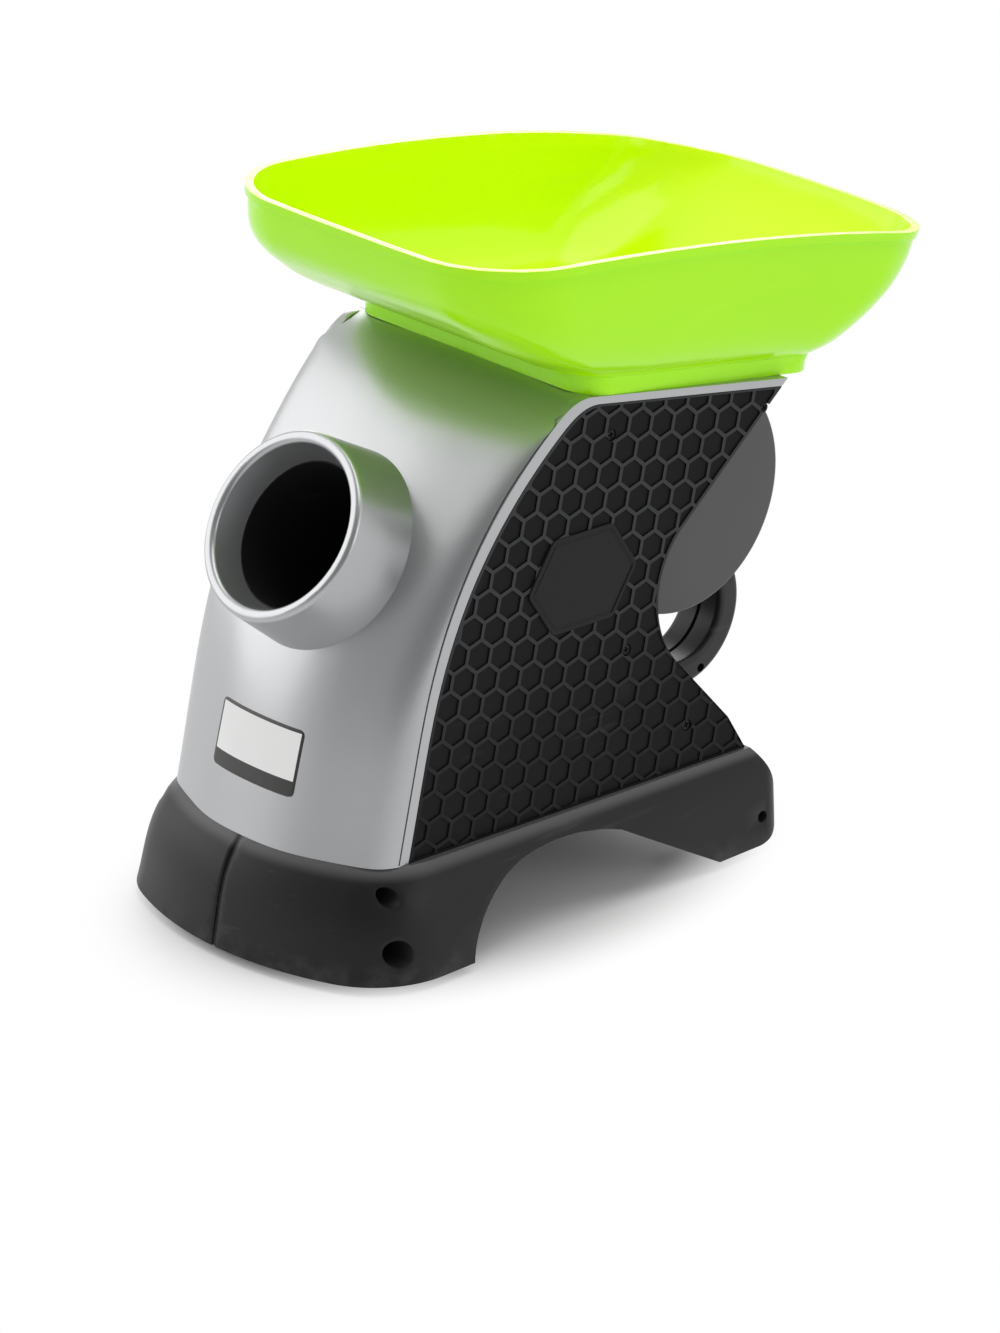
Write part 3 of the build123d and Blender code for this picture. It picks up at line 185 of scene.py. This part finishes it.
dress(base_plastic(), "left_base_half", "right_base_half", "battery_door", "battery_box")
for half in ("left_base_half", "right_base_half"):
    soften(half, 1.0 * MM)


# Feet and wheel tyres: soft black rubber, dull and slightly dusty.
# The feet are pressed into sockets under the base, the tyres on to the wheel hubs.
def black_rubber():
    dark, pale, dust_grey = (0.016, 0.016, 0.016, 1), (0.026, 0.026, 0.026, 1), (0.16, 0.155, 0.145, 1)
    material, shader, place = new_finish("black rubber")
    tone = place.noise(30, 4)
    grit = place.noise(700, 3)
    dust = place.noise(120, 4).between(0.5, 0.72)
    (dust * 0.16).mix(tone.mix(dark, pale), dust_grey).feed(shader, "Base Color")
    (tone * 0.12 + grit * 0.1 + dust * 0.06 + 0.62).feed(shader, "Roughness")
    grit.bump(0.5, 0.12 * MM).feed(shader, "Normal")
    shader.inputs["Specular IOR Level"].default_value = 0.3
    return material


dress(black_rubber(), "rubber_feet", "left_wheel_tyre", "right_wheel_tyre")


# Batteries: six round cells in a plain dark wrap, between sprung steel contacts.
# They lie in two rows of three above the arch.


# A plain finish: a tone that drifts, a fine grain, and scratches that show a paler ground
def moulded(name, colour, roughness, grain, depth, metallic=0.0, specular=0.4):
    material, shader, place = new_finish(name)
    tone = place.noise(16, 4)
    speckle = place.noise(grain, 2)
    scratch = scuffs(place)
    drift = tone.mix(shade(0.86, colour), shade(1.12, colour))
    worn = shade(1.0, [0.6 * part + 0.08 for part in colour])
    (scratch * 0.25).mix(drift, worn).feed(shader, "Base Color")
    (tone * 0.14 + speckle * 0.06 + scratch * 0.08 + (roughness - 0.1)).feed(shader, "Roughness")
    (speckle - scratch * 0.1).bump(0.5, depth).feed(shader, "Normal")
    shader.inputs["Metallic"].default_value = metallic
    shader.inputs["Specular IOR Level"].default_value = specular
    return material


wrap = moulded("cell wrap", (0.1, 0.1, 0.105), roughness=0.35, grain=500, depth=0.03 * MM)
steel = moulded("plain steel", (0.55, 0.55, 0.56), roughness=0.3, grain=500, depth=0.03 * MM, metallic=1.0)
dress(wrap, "battery_cells")
dress(steel, "battery_contacts")


# Front shell, muzzle ring and side frames: moulded, then sprayed with fine silver paint.
# The shell is held between the frames, and the ring is glued over the barrel's end.
def silver_paint():
    paint = (0.415, 0.42, 0.43)
    material, shader, place = new_finish("silver paint")
    tone = place.noise(9, 3)
    flake = place.noise(2600, 1)
    peel = place.noise(420, 2)
    rub = place.noise(50, 5, (1, 2, 0.4)).between(0.56, 0.84) * place.noise(7).between(0.48, 0.74)
    colour = tone.mix(shade(0.95, paint), shade(1.05, paint))
    colour = (flake * 0.25).mix(colour, shade(1.2, paint))
    (rub * 0.3).mix(colour, shade(1.25, paint)).feed(shader, "Base Color")
    (tone * 0.06 + flake * 0.08 + rub * 0.1 + 0.23).feed(shader, "Roughness")
    (0.76 - rub * 0.08).feed(shader, "Metallic")
    (flake * 0.6 + peel * 0.4).bump(0.25, 0.05 * MM).feed(shader, "Normal")
    shader.inputs["Coat Weight"].default_value = 0.2
    shader.inputs["Coat Roughness"].default_value = 0.12
    return material


silver = silver_paint()
dress(silver, "front_shell", "nozzle", "left_side_frame", "right_side_frame")
for side_frame in ("left_side_frame", "right_side_frame"):
    soften(side_frame, 0.8 * MM)


# A mesh of the builder's own becomes a piece that rides with the body
def fixed_piece(name, builder, material):
    mesh = bpy.data.meshes.new(name)
    builder.to_mesh(mesh)
    builder.free()
    mesh.materials.append(material)
    piece = bpy.data.objects.new(name, mesh)
    bpy.context.scene.collection.objects.link(piece)
    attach(piece, "root")
    return piece


# The front shell with its upper corners drawn out over the edges of the frames: at each
# level, in mm, the half width grows from that of the shell to that of the frames
def front_skin():
    kept_half, levels = 55, (255, 260, 265, 270, 275, 290)
    shell_half = (85.6, 85.9, 85.7, 83.4, 81.5, 81.5)
    frame_half = (85.6, 85.95, 86.3, 86.7, 87.0, 87.6)
    builder = bmesh.new()
    builder.from_mesh(nodes["front_shell"].data)
    for vertex in builder.verts:
        aside, level = abs(vertex.co.x) / MM, vertex.co.z / MM
        if aside > kept_half:
            reach, edge = (np.interp(level, levels, half) - kept_half for half in (frame_half, shell_half))
            vertex.co.x *= (kept_half + (aside - kept_half) * float(reach / edge)) / aside
    skin = fixed_piece("front_skin", builder, silver)
    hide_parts("front_shell")
    return skin


shell_skin = front_skin()


# Label plate: thin bare film on the front shell, white with a dark rim and foot.
# It is stuck on and bends with the shell, so each point is laid on the shell's surface.
def label_film(middle, level, half_width, half_height):
    rim, foot, soft = 1.7 * MM, 8.2 * MM, 0.2 * MM
    white, warm_white = (0.76, 0.76, 0.76, 1), (0.83, 0.83, 0.82, 1)
    ink_black, ink_brown = (0.018, 0.017, 0.016, 1), (0.028, 0.027, 0.026, 1)
    material, shader, place = new_finish("label film")
    side = place.math("ABSOLUTE", place.along(0) - middle)
    rise = place.along(2) - level
    across = (half_width - side).between(rim, rim + soft)
    below_top = (half_height - rise).between(rim, rim + soft)
    above_foot = (rise + half_height).between(foot, foot + soft)
    tone = place.noise(40, 3)
    paper = tone.mix(white, warm_white)
    ink = tone.mix(ink_black, ink_brown)
    (across * below_top * above_foot).mix(ink, paper).feed(shader, "Base Color")
    (tone * 0.15 + 0.28).feed(shader, "Roughness")
    place.noise(900, 2).bump(0.15, 0.05 * MM).feed(shader, "Normal")
    return material


def label_plate(shell_piece):
    middle, level, half_width, half_height = -2.5 * MM, 103.5 * MM, 31.5 * MM, 17 * MM
    corner, thickness, sunk = 3.2 * MM, 0.3 * MM, 0.05 * MM
    columns, rows = 60, 40
    bpy.context.view_layer.update()
    shell = BVHTree.FromObject(shell_piece, bpy.context.evaluated_depsgraph_get())
    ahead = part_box("front_shell")[0].y - corner
    builder = bmesh.new()
    grid = []
    for j in range(rows + 1):
        up = half_height * (2 * j / rows - 1)
        over = max(0.0, abs(up) - half_height + corner)
        reach = half_width - corner + (corner ** 2 - over ** 2) ** 0.5
        line = []
        for i in range(columns + 1):
            start = Vector((middle + reach * (2 * i / columns - 1), ahead, level + up))
            place, normal, _, _ = shell.ray_cast(start, Vector((0, 1, 0)))
            edge = i in (0, columns) or j in (0, rows)
            line.append(builder.verts.new(place + normal * (-sunk if edge else thickness)))
        grid.append(line)
    for j in range(rows):
        for i in range(columns):
            quad = (grid[j][i], grid[j][i + 1], grid[j + 1][i + 1], grid[j + 1][i])
            builder.faces.new(quad).smooth = True
    film = label_film(middle, level, half_width, half_height)
    fixed_piece("label_plate", builder, film)


label_plate(shell_skin)


# Side panels: satin black mouldings, each held in its frame by four screws.
# The ribs of their honeycomb are polished, the sunk cells between them dull; the ribs also
# carry a painted sheen, lighter at the top and fading downwards.


# The tapered outer face of the panels: its distance from the middle at y = 0, and its slope
def panel_face():
    points = np.array([vertex.co for vertex in nodes["right_side_panel"].data.vertices])
    front, rear = points[:, 1].min(), points[:, 1].max()
    x_front, x_rear = (points[abs(points[:, 1] - y) < 0.2 * MM][:, 0].max() for y in (front, rear))
    slope = float((x_rear - x_front) / (rear - front))
    return float(x_front - slope * front), slope


def panel_plastic():
    start, slope = panel_face()
    black, rib_sheen_black, worn_grey = (0.0055, 0.0055, 0.006), (0.032, 0.033, 0.035), (0.09, 0.09, 0.09, 1)
    rib_depth, cell_depth = 0.1 * MM, 0.4 * MM
    sheen_low_level, sheen_high_level, least_sheen = 70 * MM, 200 * MM, 0.15
    material, shader, place = new_finish("satin black plastic")
    depth = place.along(1) * slope + start - place.math("ABSOLUTE", place.along(0))
    rib = 1 - depth.between(rib_depth, cell_depth)
    # Painted sheen: the ribs are coloured lighter, most towards the top where light catches them; this
    # mask also sets their coat
    rise = place.along(2).between(sheen_low_level, sheen_high_level)
    rib_gloss_and_painted_sheen = rib * (rise * (1 - least_sheen) + least_sheen)
    tone = place.noise(16, 4)
    speckle = place.noise(1100, 2)
    scratch = scuffs(place)
    cell_colour = tone.mix(shade(0.8, black), shade(1.2, black))
    rib_sheen_colour = tone.mix(shade(0.75, rib_sheen_black), shade(1.15, rib_sheen_black))
    colour = rib_gloss_and_painted_sheen.mix(cell_colour, rib_sheen_colour)
    (scratch * 0.12).mix(colour, worn_grey).feed(shader, "Base Color")
    (tone * 0.1 + speckle * 0.08 + scratch * 0.08 - rib * 0.1 + 0.40).feed(shader, "Roughness")
    (rib_gloss_and_painted_sheen * 0.15).feed(shader, "Coat Weight")
    (speckle - scratch * 0.1).bump(0.35, 0.05 * MM).feed(shader, "Normal")
    shader.inputs["Coat Roughness"].default_value = 0.25
    shader.inputs["Specular IOR Level"].default_value = 0.1
    return material


dress(panel_plastic(), "left_side_panel", "right_side_panel")
for panel in ("left_side_panel", "right_side_panel"):
    soften(panel, 0.22 * MM, segments=1)


# Bare plate on the right panel: a plain six-sided field with a raised rim, moulded with
# the panel and standing a little over the honeycomb.


# Bands of quads between loops of points that follow each other
def bands(builder, loops):
    for lower, upper in zip(loops[:-1], loops[1:]):
        for i in range(len(lower)):
            following = (i + 1) % len(lower)
            builder.faces.new((lower[i], lower[following], upper[following], upper[i]))


def bare_plate(material):
    start, slope = panel_face()
    middle = Vector((0, -41 * MM, 183 * MM))
    middle.x = start + slope * middle.y
    back = Vector((slope, 1, 0)).normalized()
    out = Vector((1, -slope, 0)).normalized()
    ends, shoulder, height, corner = 30 * MM, 17 * MM, 20.5 * MM, 5 * MM
    half = ((ends, 0), (shoulder, height), (-shoulder, height))
    core = half + tuple((-along, -up) for along, up in half)
    # Each ring of the rim, in mm: how far it lies inside the outline and over the panel
    levels = ((0.0, -0.85), (0.0, 0.35), (0.4, 0.75), (1.9, 0.75), (2.5, 0.15), (3.4, 0.15), (3.7, 0.4))
    steps = 6
    builder = bmesh.new()
    loops = []
    for inset, proud in levels:
        radius = corner - inset * MM
        loop = []
        for k, (u, v) in enumerate(core):
            before, after = core[k - 1], core[(k + 1) % len(core)]
            turn_in = atan2(v - before[1], u - before[0]) - pi / 2
            turn_out = atan2(after[1] - v, after[0] - u) - pi / 2
            sweep = (turn_out - turn_in) % tau
            for i in range(steps + 1):
                angle = turn_in + sweep * i / steps
                spot = middle + back * (u + radius * cos(angle)) + out * proud * MM
                spot.z += v + radius * sin(angle)
                loop.append(builder.verts.new(spot))
        loops.append(loop)
    bands(builder, loops)
    builder.faces.new(loops[-1])
    fixed_piece("bare_plate", builder, material)


plate_black = moulded("plate black plastic", (0.010, 0.010, 0.011),
                      roughness=0.34, grain=1100, depth=0.05 * MM, specular=0.16)
bare_plate(plate_black)


# Barrel and chute: matt black mouldings inside the body, joined at a mitre.
# Balls rub them, so they carry long scratches.
matt_black = moulded("matt black plastic", (0.010, 0.010, 0.011),
                     roughness=0.6, grain=800, depth=0.06 * MM, specular=0.25)
dress(matt_black, "launch_barrel", "ball_chute")


# Launch wheels: acetal hubs on steel shafts, which grip the ball from both sides.
# Each is driven by a plated motor that hangs under its shelf of the barrel.
acetal = moulded("acetal", (0.72, 0.71, 0.67), roughness=0.38, grain=600, depth=0.04 * MM)
plated = moulded("plated can", (0.5, 0.5, 0.5), roughness=0.36, grain=700, depth=0.03 * MM, metallic=0.9)
dress(acetal, "left_wheel_hub", "right_wheel_hub")
dress(steel, "left_wheel_shaft", "right_wheel_shaft")
dress(plated, "left_wheel_motor", "right_wheel_motor")


# Feed: an acetal rotor with one ball pocket, turned through a gear by a small motor.
# It runs in bushes of sintered bronze and its motor hangs on a steel bracket.
bronze = moulded("sintered bronze", (0.5, 0.36, 0.18),
                 roughness=0.42, grain=900, depth=0.04 * MM, metallic=0.9)
dress(acetal, "feed_rotor", "feed_gear", "feed_pinion")
dress(steel, "feed_pinion_shaft", "feed_motor_bracket")
dress(plated, "feed_motor")
dress(bronze, "feed_bushes")


# Drum: a dark grey box in two halves, closed round the feed rotor.
# It is moulded in satin plastic and joined down the middle.
grey = moulded("dark grey plastic", (0.075, 0.075, 0.076), roughness=0.46, grain=1100, depth=0.06 * MM)
dress(grey, "left_drum_cover", "right_drum_cover")


# Back wall: two satin black halves between the frames, bent round the drum.
# The circuit board stands on posts behind its buttons, and the power jack is on the left.
wall_black = moulded("wall black plastic", (0.014, 0.014, 0.015),
                     roughness=0.42, grain=1000, depth=0.05 * MM, specular=0.3)
button_grey = moulded("button plastic", (0.2, 0.2, 0.21), roughness=0.4, grain=900, depth=0.04 * MM)
board_green = moulded("solder mask", (0.02, 0.14, 0.05), roughness=0.4, grain=700, depth=0.04 * MM)
dress(wall_black, "left_rear_shell", "right_rear_shell")
dress(matt_black, "dc_jack")
dress(button_grey, "power_button", "distance_button")
dress(board_green, "circuit_board")


# Handle: two black halves screwed together into a C behind the body.
# They are moulded smooth, where the hand goes round them.
handle_black = moulded("handle plastic", (0.016, 0.016, 0.017),
                       roughness=0.36, grain=1000, depth=0.04 * MM, specular=0.35)
dress(handle_black, "left_handle_half", "right_handle_half")


# Ball tray: one thin moulding of glossy lime plastic with a rolled rim.
# Its collar sits on the sloping top of the body and its spout reaches into the drum.
def tray_plastic():
    lime, painted_light_lime, hazy_lime = (0.40, 0.88, 0.0), (0.68, 0.98, 0.0), (0.62, 0.93, 0.03, 1)
    above_rim, soft = 40 * MM, 4 * MM
    material, shader, place = new_finish("lime plastic")
    low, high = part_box("hopper")
    above = (0, (low.y + high.y) / 2, high.z + above_rim)
    away = place.node("ShaderNodeVectorMath", {"operation": "SUBTRACT"}, {0: place, 1: above})
    normal = place.node("ShaderNodeNewGeometry", {}, {}, "Normal")
    outward = place.node("ShaderNodeVectorMath", {"operation": "DOT_PRODUCT"}, {0: normal, 1: away}, 1)
    # Painted light: the inner face is coloured a paler lime, standing in for the light that falls into the
    # tray
    inner_painted_light = 1 - outward.between(-soft, soft)
    tone = place.noise(7, 3)
    haze = place.noise(45, 4, (1, 0.3, 2)).between(0.58, 0.78)
    colour = inner_painted_light.mix(tone.mix(shade(0.94, lime), shade(1.05, lime)), shade(1.0, painted_light_lime))
    (haze * 0.12).mix(colour, hazy_lime).feed(shader, "Base Color")
    (haze * 0.1 + tone * 0.06 + 0.16).feed(shader, "Roughness")
    place.noise(24, 2).bump(0.12, 0.3 * MM).feed(shader, "Normal")
    shader.inputs["Specular IOR Level"].default_value = 0.3
    shader.inputs["Coat Weight"].default_value = 0.12
    shader.inputs["Coat Roughness"].default_value = 0.08
    return material


# A point of the moulding with its walls eased: fuller below and steeper above at the rear
# corners, and drawn up over the collar in front. Levels are in mm over the sloping seat.
def eased(spot, low, high):
    seat_front, seat_slope = 272.6 * MM, -0.188
    corner_shares, corner_pull = (0.25, 0.5, 0.75, 0.95), (0.0, 0.3, 0.85, 1.0)
    rear_levels, rear_out = (9, 20, 35, 50, 62, 75), (0, 8, 4, 0, -4, -7.5)
    front_levels, front_out = (50, 75), (0, -4)
    collar_levels, collar_lift = (8, 13, 25, 45), (0, 6, 6, 0)
    front_shares, front_lift = (-0.9, -0.3), (1, 0)
    middle, half = (low + high) / 2, (high - low) / 2
    aside, back = abs(spot.x) / half.x, (spot.y - middle.y) / half.y
    level = (spot.z - seat_front - seat_slope * spot.y) / MM
    corner = min(aside, abs(back)) / max(aside, abs(back), 0.01)
    pull = float(np.interp(corner, corner_shares, corner_pull))
    if back > 0:
        out, lift = np.interp(level, rear_levels, rear_out), 0.0
    else:
        out = np.interp(level, front_levels, front_out)
        lift = np.interp(level, collar_levels, collar_lift) * np.interp(back, front_shares, front_lift)
    diagonal = pull * float(out) * MM * 0.5 ** 0.5
    aside_way = 1 if spot.x > 0 else -1
    back_way = 1 if back > 0 else -1
    return spot + Vector((aside_way * diagonal, back_way * diagonal, float(lift) * MM))


def ball_tray():
    rounds, longest, crease = 3, 6 * MM, radians(30)
    soften("hopper", 1.1 * MM, segments=3, angle=50)
    low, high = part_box("hopper")
    source = nodes["hopper"].evaluated_get(bpy.context.evaluated_depsgraph_get())
    mesh = bpy.data.meshes.new_from_object(source)
    builder = bmesh.new()
    builder.from_mesh(mesh)
    bpy.data.meshes.remove(mesh)
    for _ in range(rounds):
        bmesh.ops.triangulate(builder, faces=builder.faces)
        long_edges = [edge for edge in builder.edges if edge.calc_length() > longest]
        bmesh.ops.subdivide_edges(builder, edges=long_edges, cuts=1)
    for vertex in builder.verts:
        vertex.co = eased(vertex.co.copy(), low, high)
    for face in builder.faces:
        face.smooth = True
    for edge in builder.edges:
        edge.smooth = edge.calc_face_angle(0.0) < crease
    tray = fixed_piece("ball_tray", builder, tray_plastic())
    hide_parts("hopper")


ball_tray()


# Screws: black steel heads with a cross recess, sunk into holes in the panels, base and
# handle. Each head takes its place and size from the plain solid that it stands for.


# The corners of each solid's box in a node, found by joining points that share an edge
def solids(name):
    mesh = nodes[name].data
    places = np.array([vertex.co for vertex in mesh.vertices])
    keys = [tuple(key) for key in np.round(places / MM, 2)]
    first = {}
    group = [first.setdefault(key, i) for i, key in enumerate(keys)]

    def top(i):
        while group[i] != i:
            i = group[i]
        return i

    for edge in mesh.edges:
        a, b = (top(i) for i in edge.vertices)
        group[max(a, b)] = min(a, b)
    owner = np.array([top(i) for i in range(len(group))])
    parts = [places[owner == one] for one in np.unique(owner)]
    return [(Vector(part.min(0)), Vector(part.max(0))) for part in parts]


def ring_edges(builder, loop):
    return [builder.edges.get((loop[i - 1], loop[i])) for i in range(len(loop))]


# One head: a rounded disc whose cross recess is turned by its place, as screws come to rest
def screw_head(builder, low, high):
    side = 1 if low.x + high.x > 0 else -1
    middle = (low + high) / 2
    outer = high.x if side > 0 else low.x
    radius, height = (high.z - low.z) / 2, high.x - low.x
    arm, slot, recess = 0.62 * radius, 0.14 * radius, min(0.6 * height, 0.5 * radius)
    turn = middle.y / MM
    steps = 28
    circle = [Vector((cos(tau * i / steps), sin(tau * i / steps))) for i in range(steps)]
    cross = []
    for i in range(4):
        angle = i * pi / 2 + turn
        along, aside = Vector((cos(angle), sin(angle))), Vector((-sin(angle), cos(angle)))
        cross += [along * arm - aside * slot, along * arm + aside * slot, (along + aside) * slot]

    def loop(outline, scale, sink):
        level = outer - side * sink
        spots = [(level, middle.y + scale * p.x, middle.z + scale * p.y) for p in outline]
        return [builder.verts.new(spot) for spot in spots]

    rings = ((1.0, height), (1.0, 0.25 * height), (0.93, 0.08 * height), (0.8, 0.0))
    head = [loop(circle, share * radius, sink) for share, sink in rings]
    socket = [loop(cross, 1.0, 0.0), loop(cross, 0.8, recess)]
    bands(builder, head)
    bands(builder, socket)
    builder.faces.new(head[0])
    builder.faces.new(socket[1])
    mouth = ring_edges(builder, head[-1]) + ring_edges(builder, socket[0])
    bmesh.ops.triangle_fill(builder, edges=mouth, use_beauty=True, use_dissolve=False)


def screw_heads(name, material):
    builder = bmesh.new()
    for low, high in solids(name):
        screw_head(builder, low, high)
    bmesh.ops.recalc_face_normals(builder, faces=builder.faces)
    heads = fixed_piece(name + "_heads", builder, material)
    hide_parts(name)


blackened = moulded("blackened steel", (0.008, 0.008, 0.008),
                    roughness=0.45, grain=600, depth=0.03 * MM, metallic=0.3, specular=0.2)
for screws in ("panel_screws", "base_screws", "handle_screws"):
    screw_heads(screws, blackened)


# Studio floor: a pale matt sheet under the feet, which is no part of the object.
# It keeps the soft shadow near the part and runs out to white.
def studio_floor():
    reach, shadow_share, white_share = 8.0, 0.85, 1.42
    pale, paler = (0.86, 0.86, 0.86, 1), (0.89, 0.89, 0.89, 1)
    mesh = bpy.data.meshes.new("floor")
    corners = [(-reach, -reach, 0), (reach, -reach, 0), (reach, reach, 0), (-reach, reach, 0)]
    mesh.from_pydata(corners, [], [(0, 1, 2, 3)])
    floor = bpy.data.objects.new("floor", mesh)
    bpy.context.scene.collection.objects.link(floor)
    material, shader, place = new_finish("pale floor")
    tone = place.noise(30, 3)
    tone.mix(pale, paler).feed(shader, "Base Color")
    (tone * 0.1 + 0.6).feed(shader, "Roughness")
    low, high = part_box("left_base_half")[0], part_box("right_base_half")[1]
    middle, half = (low + high) / 2, (high - low) / 2
    aside = (place.along(0) - middle.x) * (1 / half.x)
    ahead = (place.along(1) - middle.y) * (1 / half.y)
    distance = place.math("SQRT", aside * aside + ahead * ahead)
    fade = distance.between(shadow_share, white_share)
    white = place.node("ShaderNodeEmission", {}, {"Color": (1, 1, 1, 1), "Strength": 1.0})
    lit = Value(place.tree, shader.outputs[0])
    cover = place.node("ShaderNodeMixShader", {}, {0: fade, 1: lit, 2: white})
    cover.feed(place.tree.nodes["Material Output"], "Surface")
    mesh.materials.append(material)


studio_floor()


# Studio light: a white room that is dark on one side where gloss mirrors it, one large soft
# lamp from the left, one behind that draws the edges, and weaker ones from above and right.
def studio_light():
    room_light, darkening = 0.55, 0.8
    dark_side, dark_from, dark_full = Vector((0.62, -0.70, 0.36)).normalized(), 0.1, 0.9
    world = bpy.data.worlds.new("studio")
    bpy.context.scene.world = world
    world.use_nodes = True
    start = Value(world.node_tree)
    camera, glossy, through = (start.node("ShaderNodeLightPath", {}, {}, name)
                               for name in ("Is Camera Ray", "Is Glossy Ray", "Is Transmission Ray"))
    seen = start.math("MINIMUM", camera + glossy + through, 1.0)
    way = start.node("ShaderNodeTexCoord", {}, {}, "Generated")
    facing = way.along(0) * dark_side.x + way.along(1) * dark_side.y + way.along(2) * dark_side.z
    dark = facing.between(dark_from, dark_full) * glossy * (1 - camera)
    ambient = world.node_tree.nodes["Background"]
    ambient.inputs["Color"].default_value = (1, 1, 1, 1)
    (seen * (1 - room_light) + room_light - dark * darkening).feed(ambient, "Strength")
    target = Vector((0, 0, 0.18))
    # Each lamp: its name, the way to it from the target, its distance, size and power
    lamps = (("key", (-0.85, -0.55, 0.4), 2.4, 2.0, 18),
             ("rim", (-0.7, 0.65, 0.4), 2.2, 1.2, 12),
             ("top", (0.1, 0.2, 1.0), 2.2, 2.0, 24),
             ("fill", (1.0, 0.15, 0.35), 2.6, 1.4, 10))
    for name, toward, far, size, power in lamps:
        data = bpy.data.lights.new(name, "AREA")
        data.size = size
        data.energy = power
        lamp = bpy.data.objects.new(name, data)
        lamp.location = target + Vector(toward).normalized() * far
        lamp.rotation_euler = (lamp.location - target).to_track_quat("Z", "Y").to_euler()
        bpy.context.scene.collection.objects.link(lamp)


studio_light()


# Camera: a long lens, raised and to the right of the muzzle, at the photo's own angle.
# Its place and angles were fitted to the object's known sizes.
def photo_camera():
    place, looks_down, turned = (2.4239, -2.2479, 1.5076), 23.12, 47.365
    data = bpy.data.cameras.new("photo")
    data.lens = 187.96
    data.sensor_width = 36
    camera = bpy.data.objects.new("photo", data)
    camera.location = place
    camera.rotation_euler = (radians(90 - looks_down), 0, radians(turned))
    bpy.context.scene.collection.objects.link(camera)
    bpy.context.scene.camera = camera


photo_camera()
bpy.context.scene.view_settings.view_transform = "Standard"
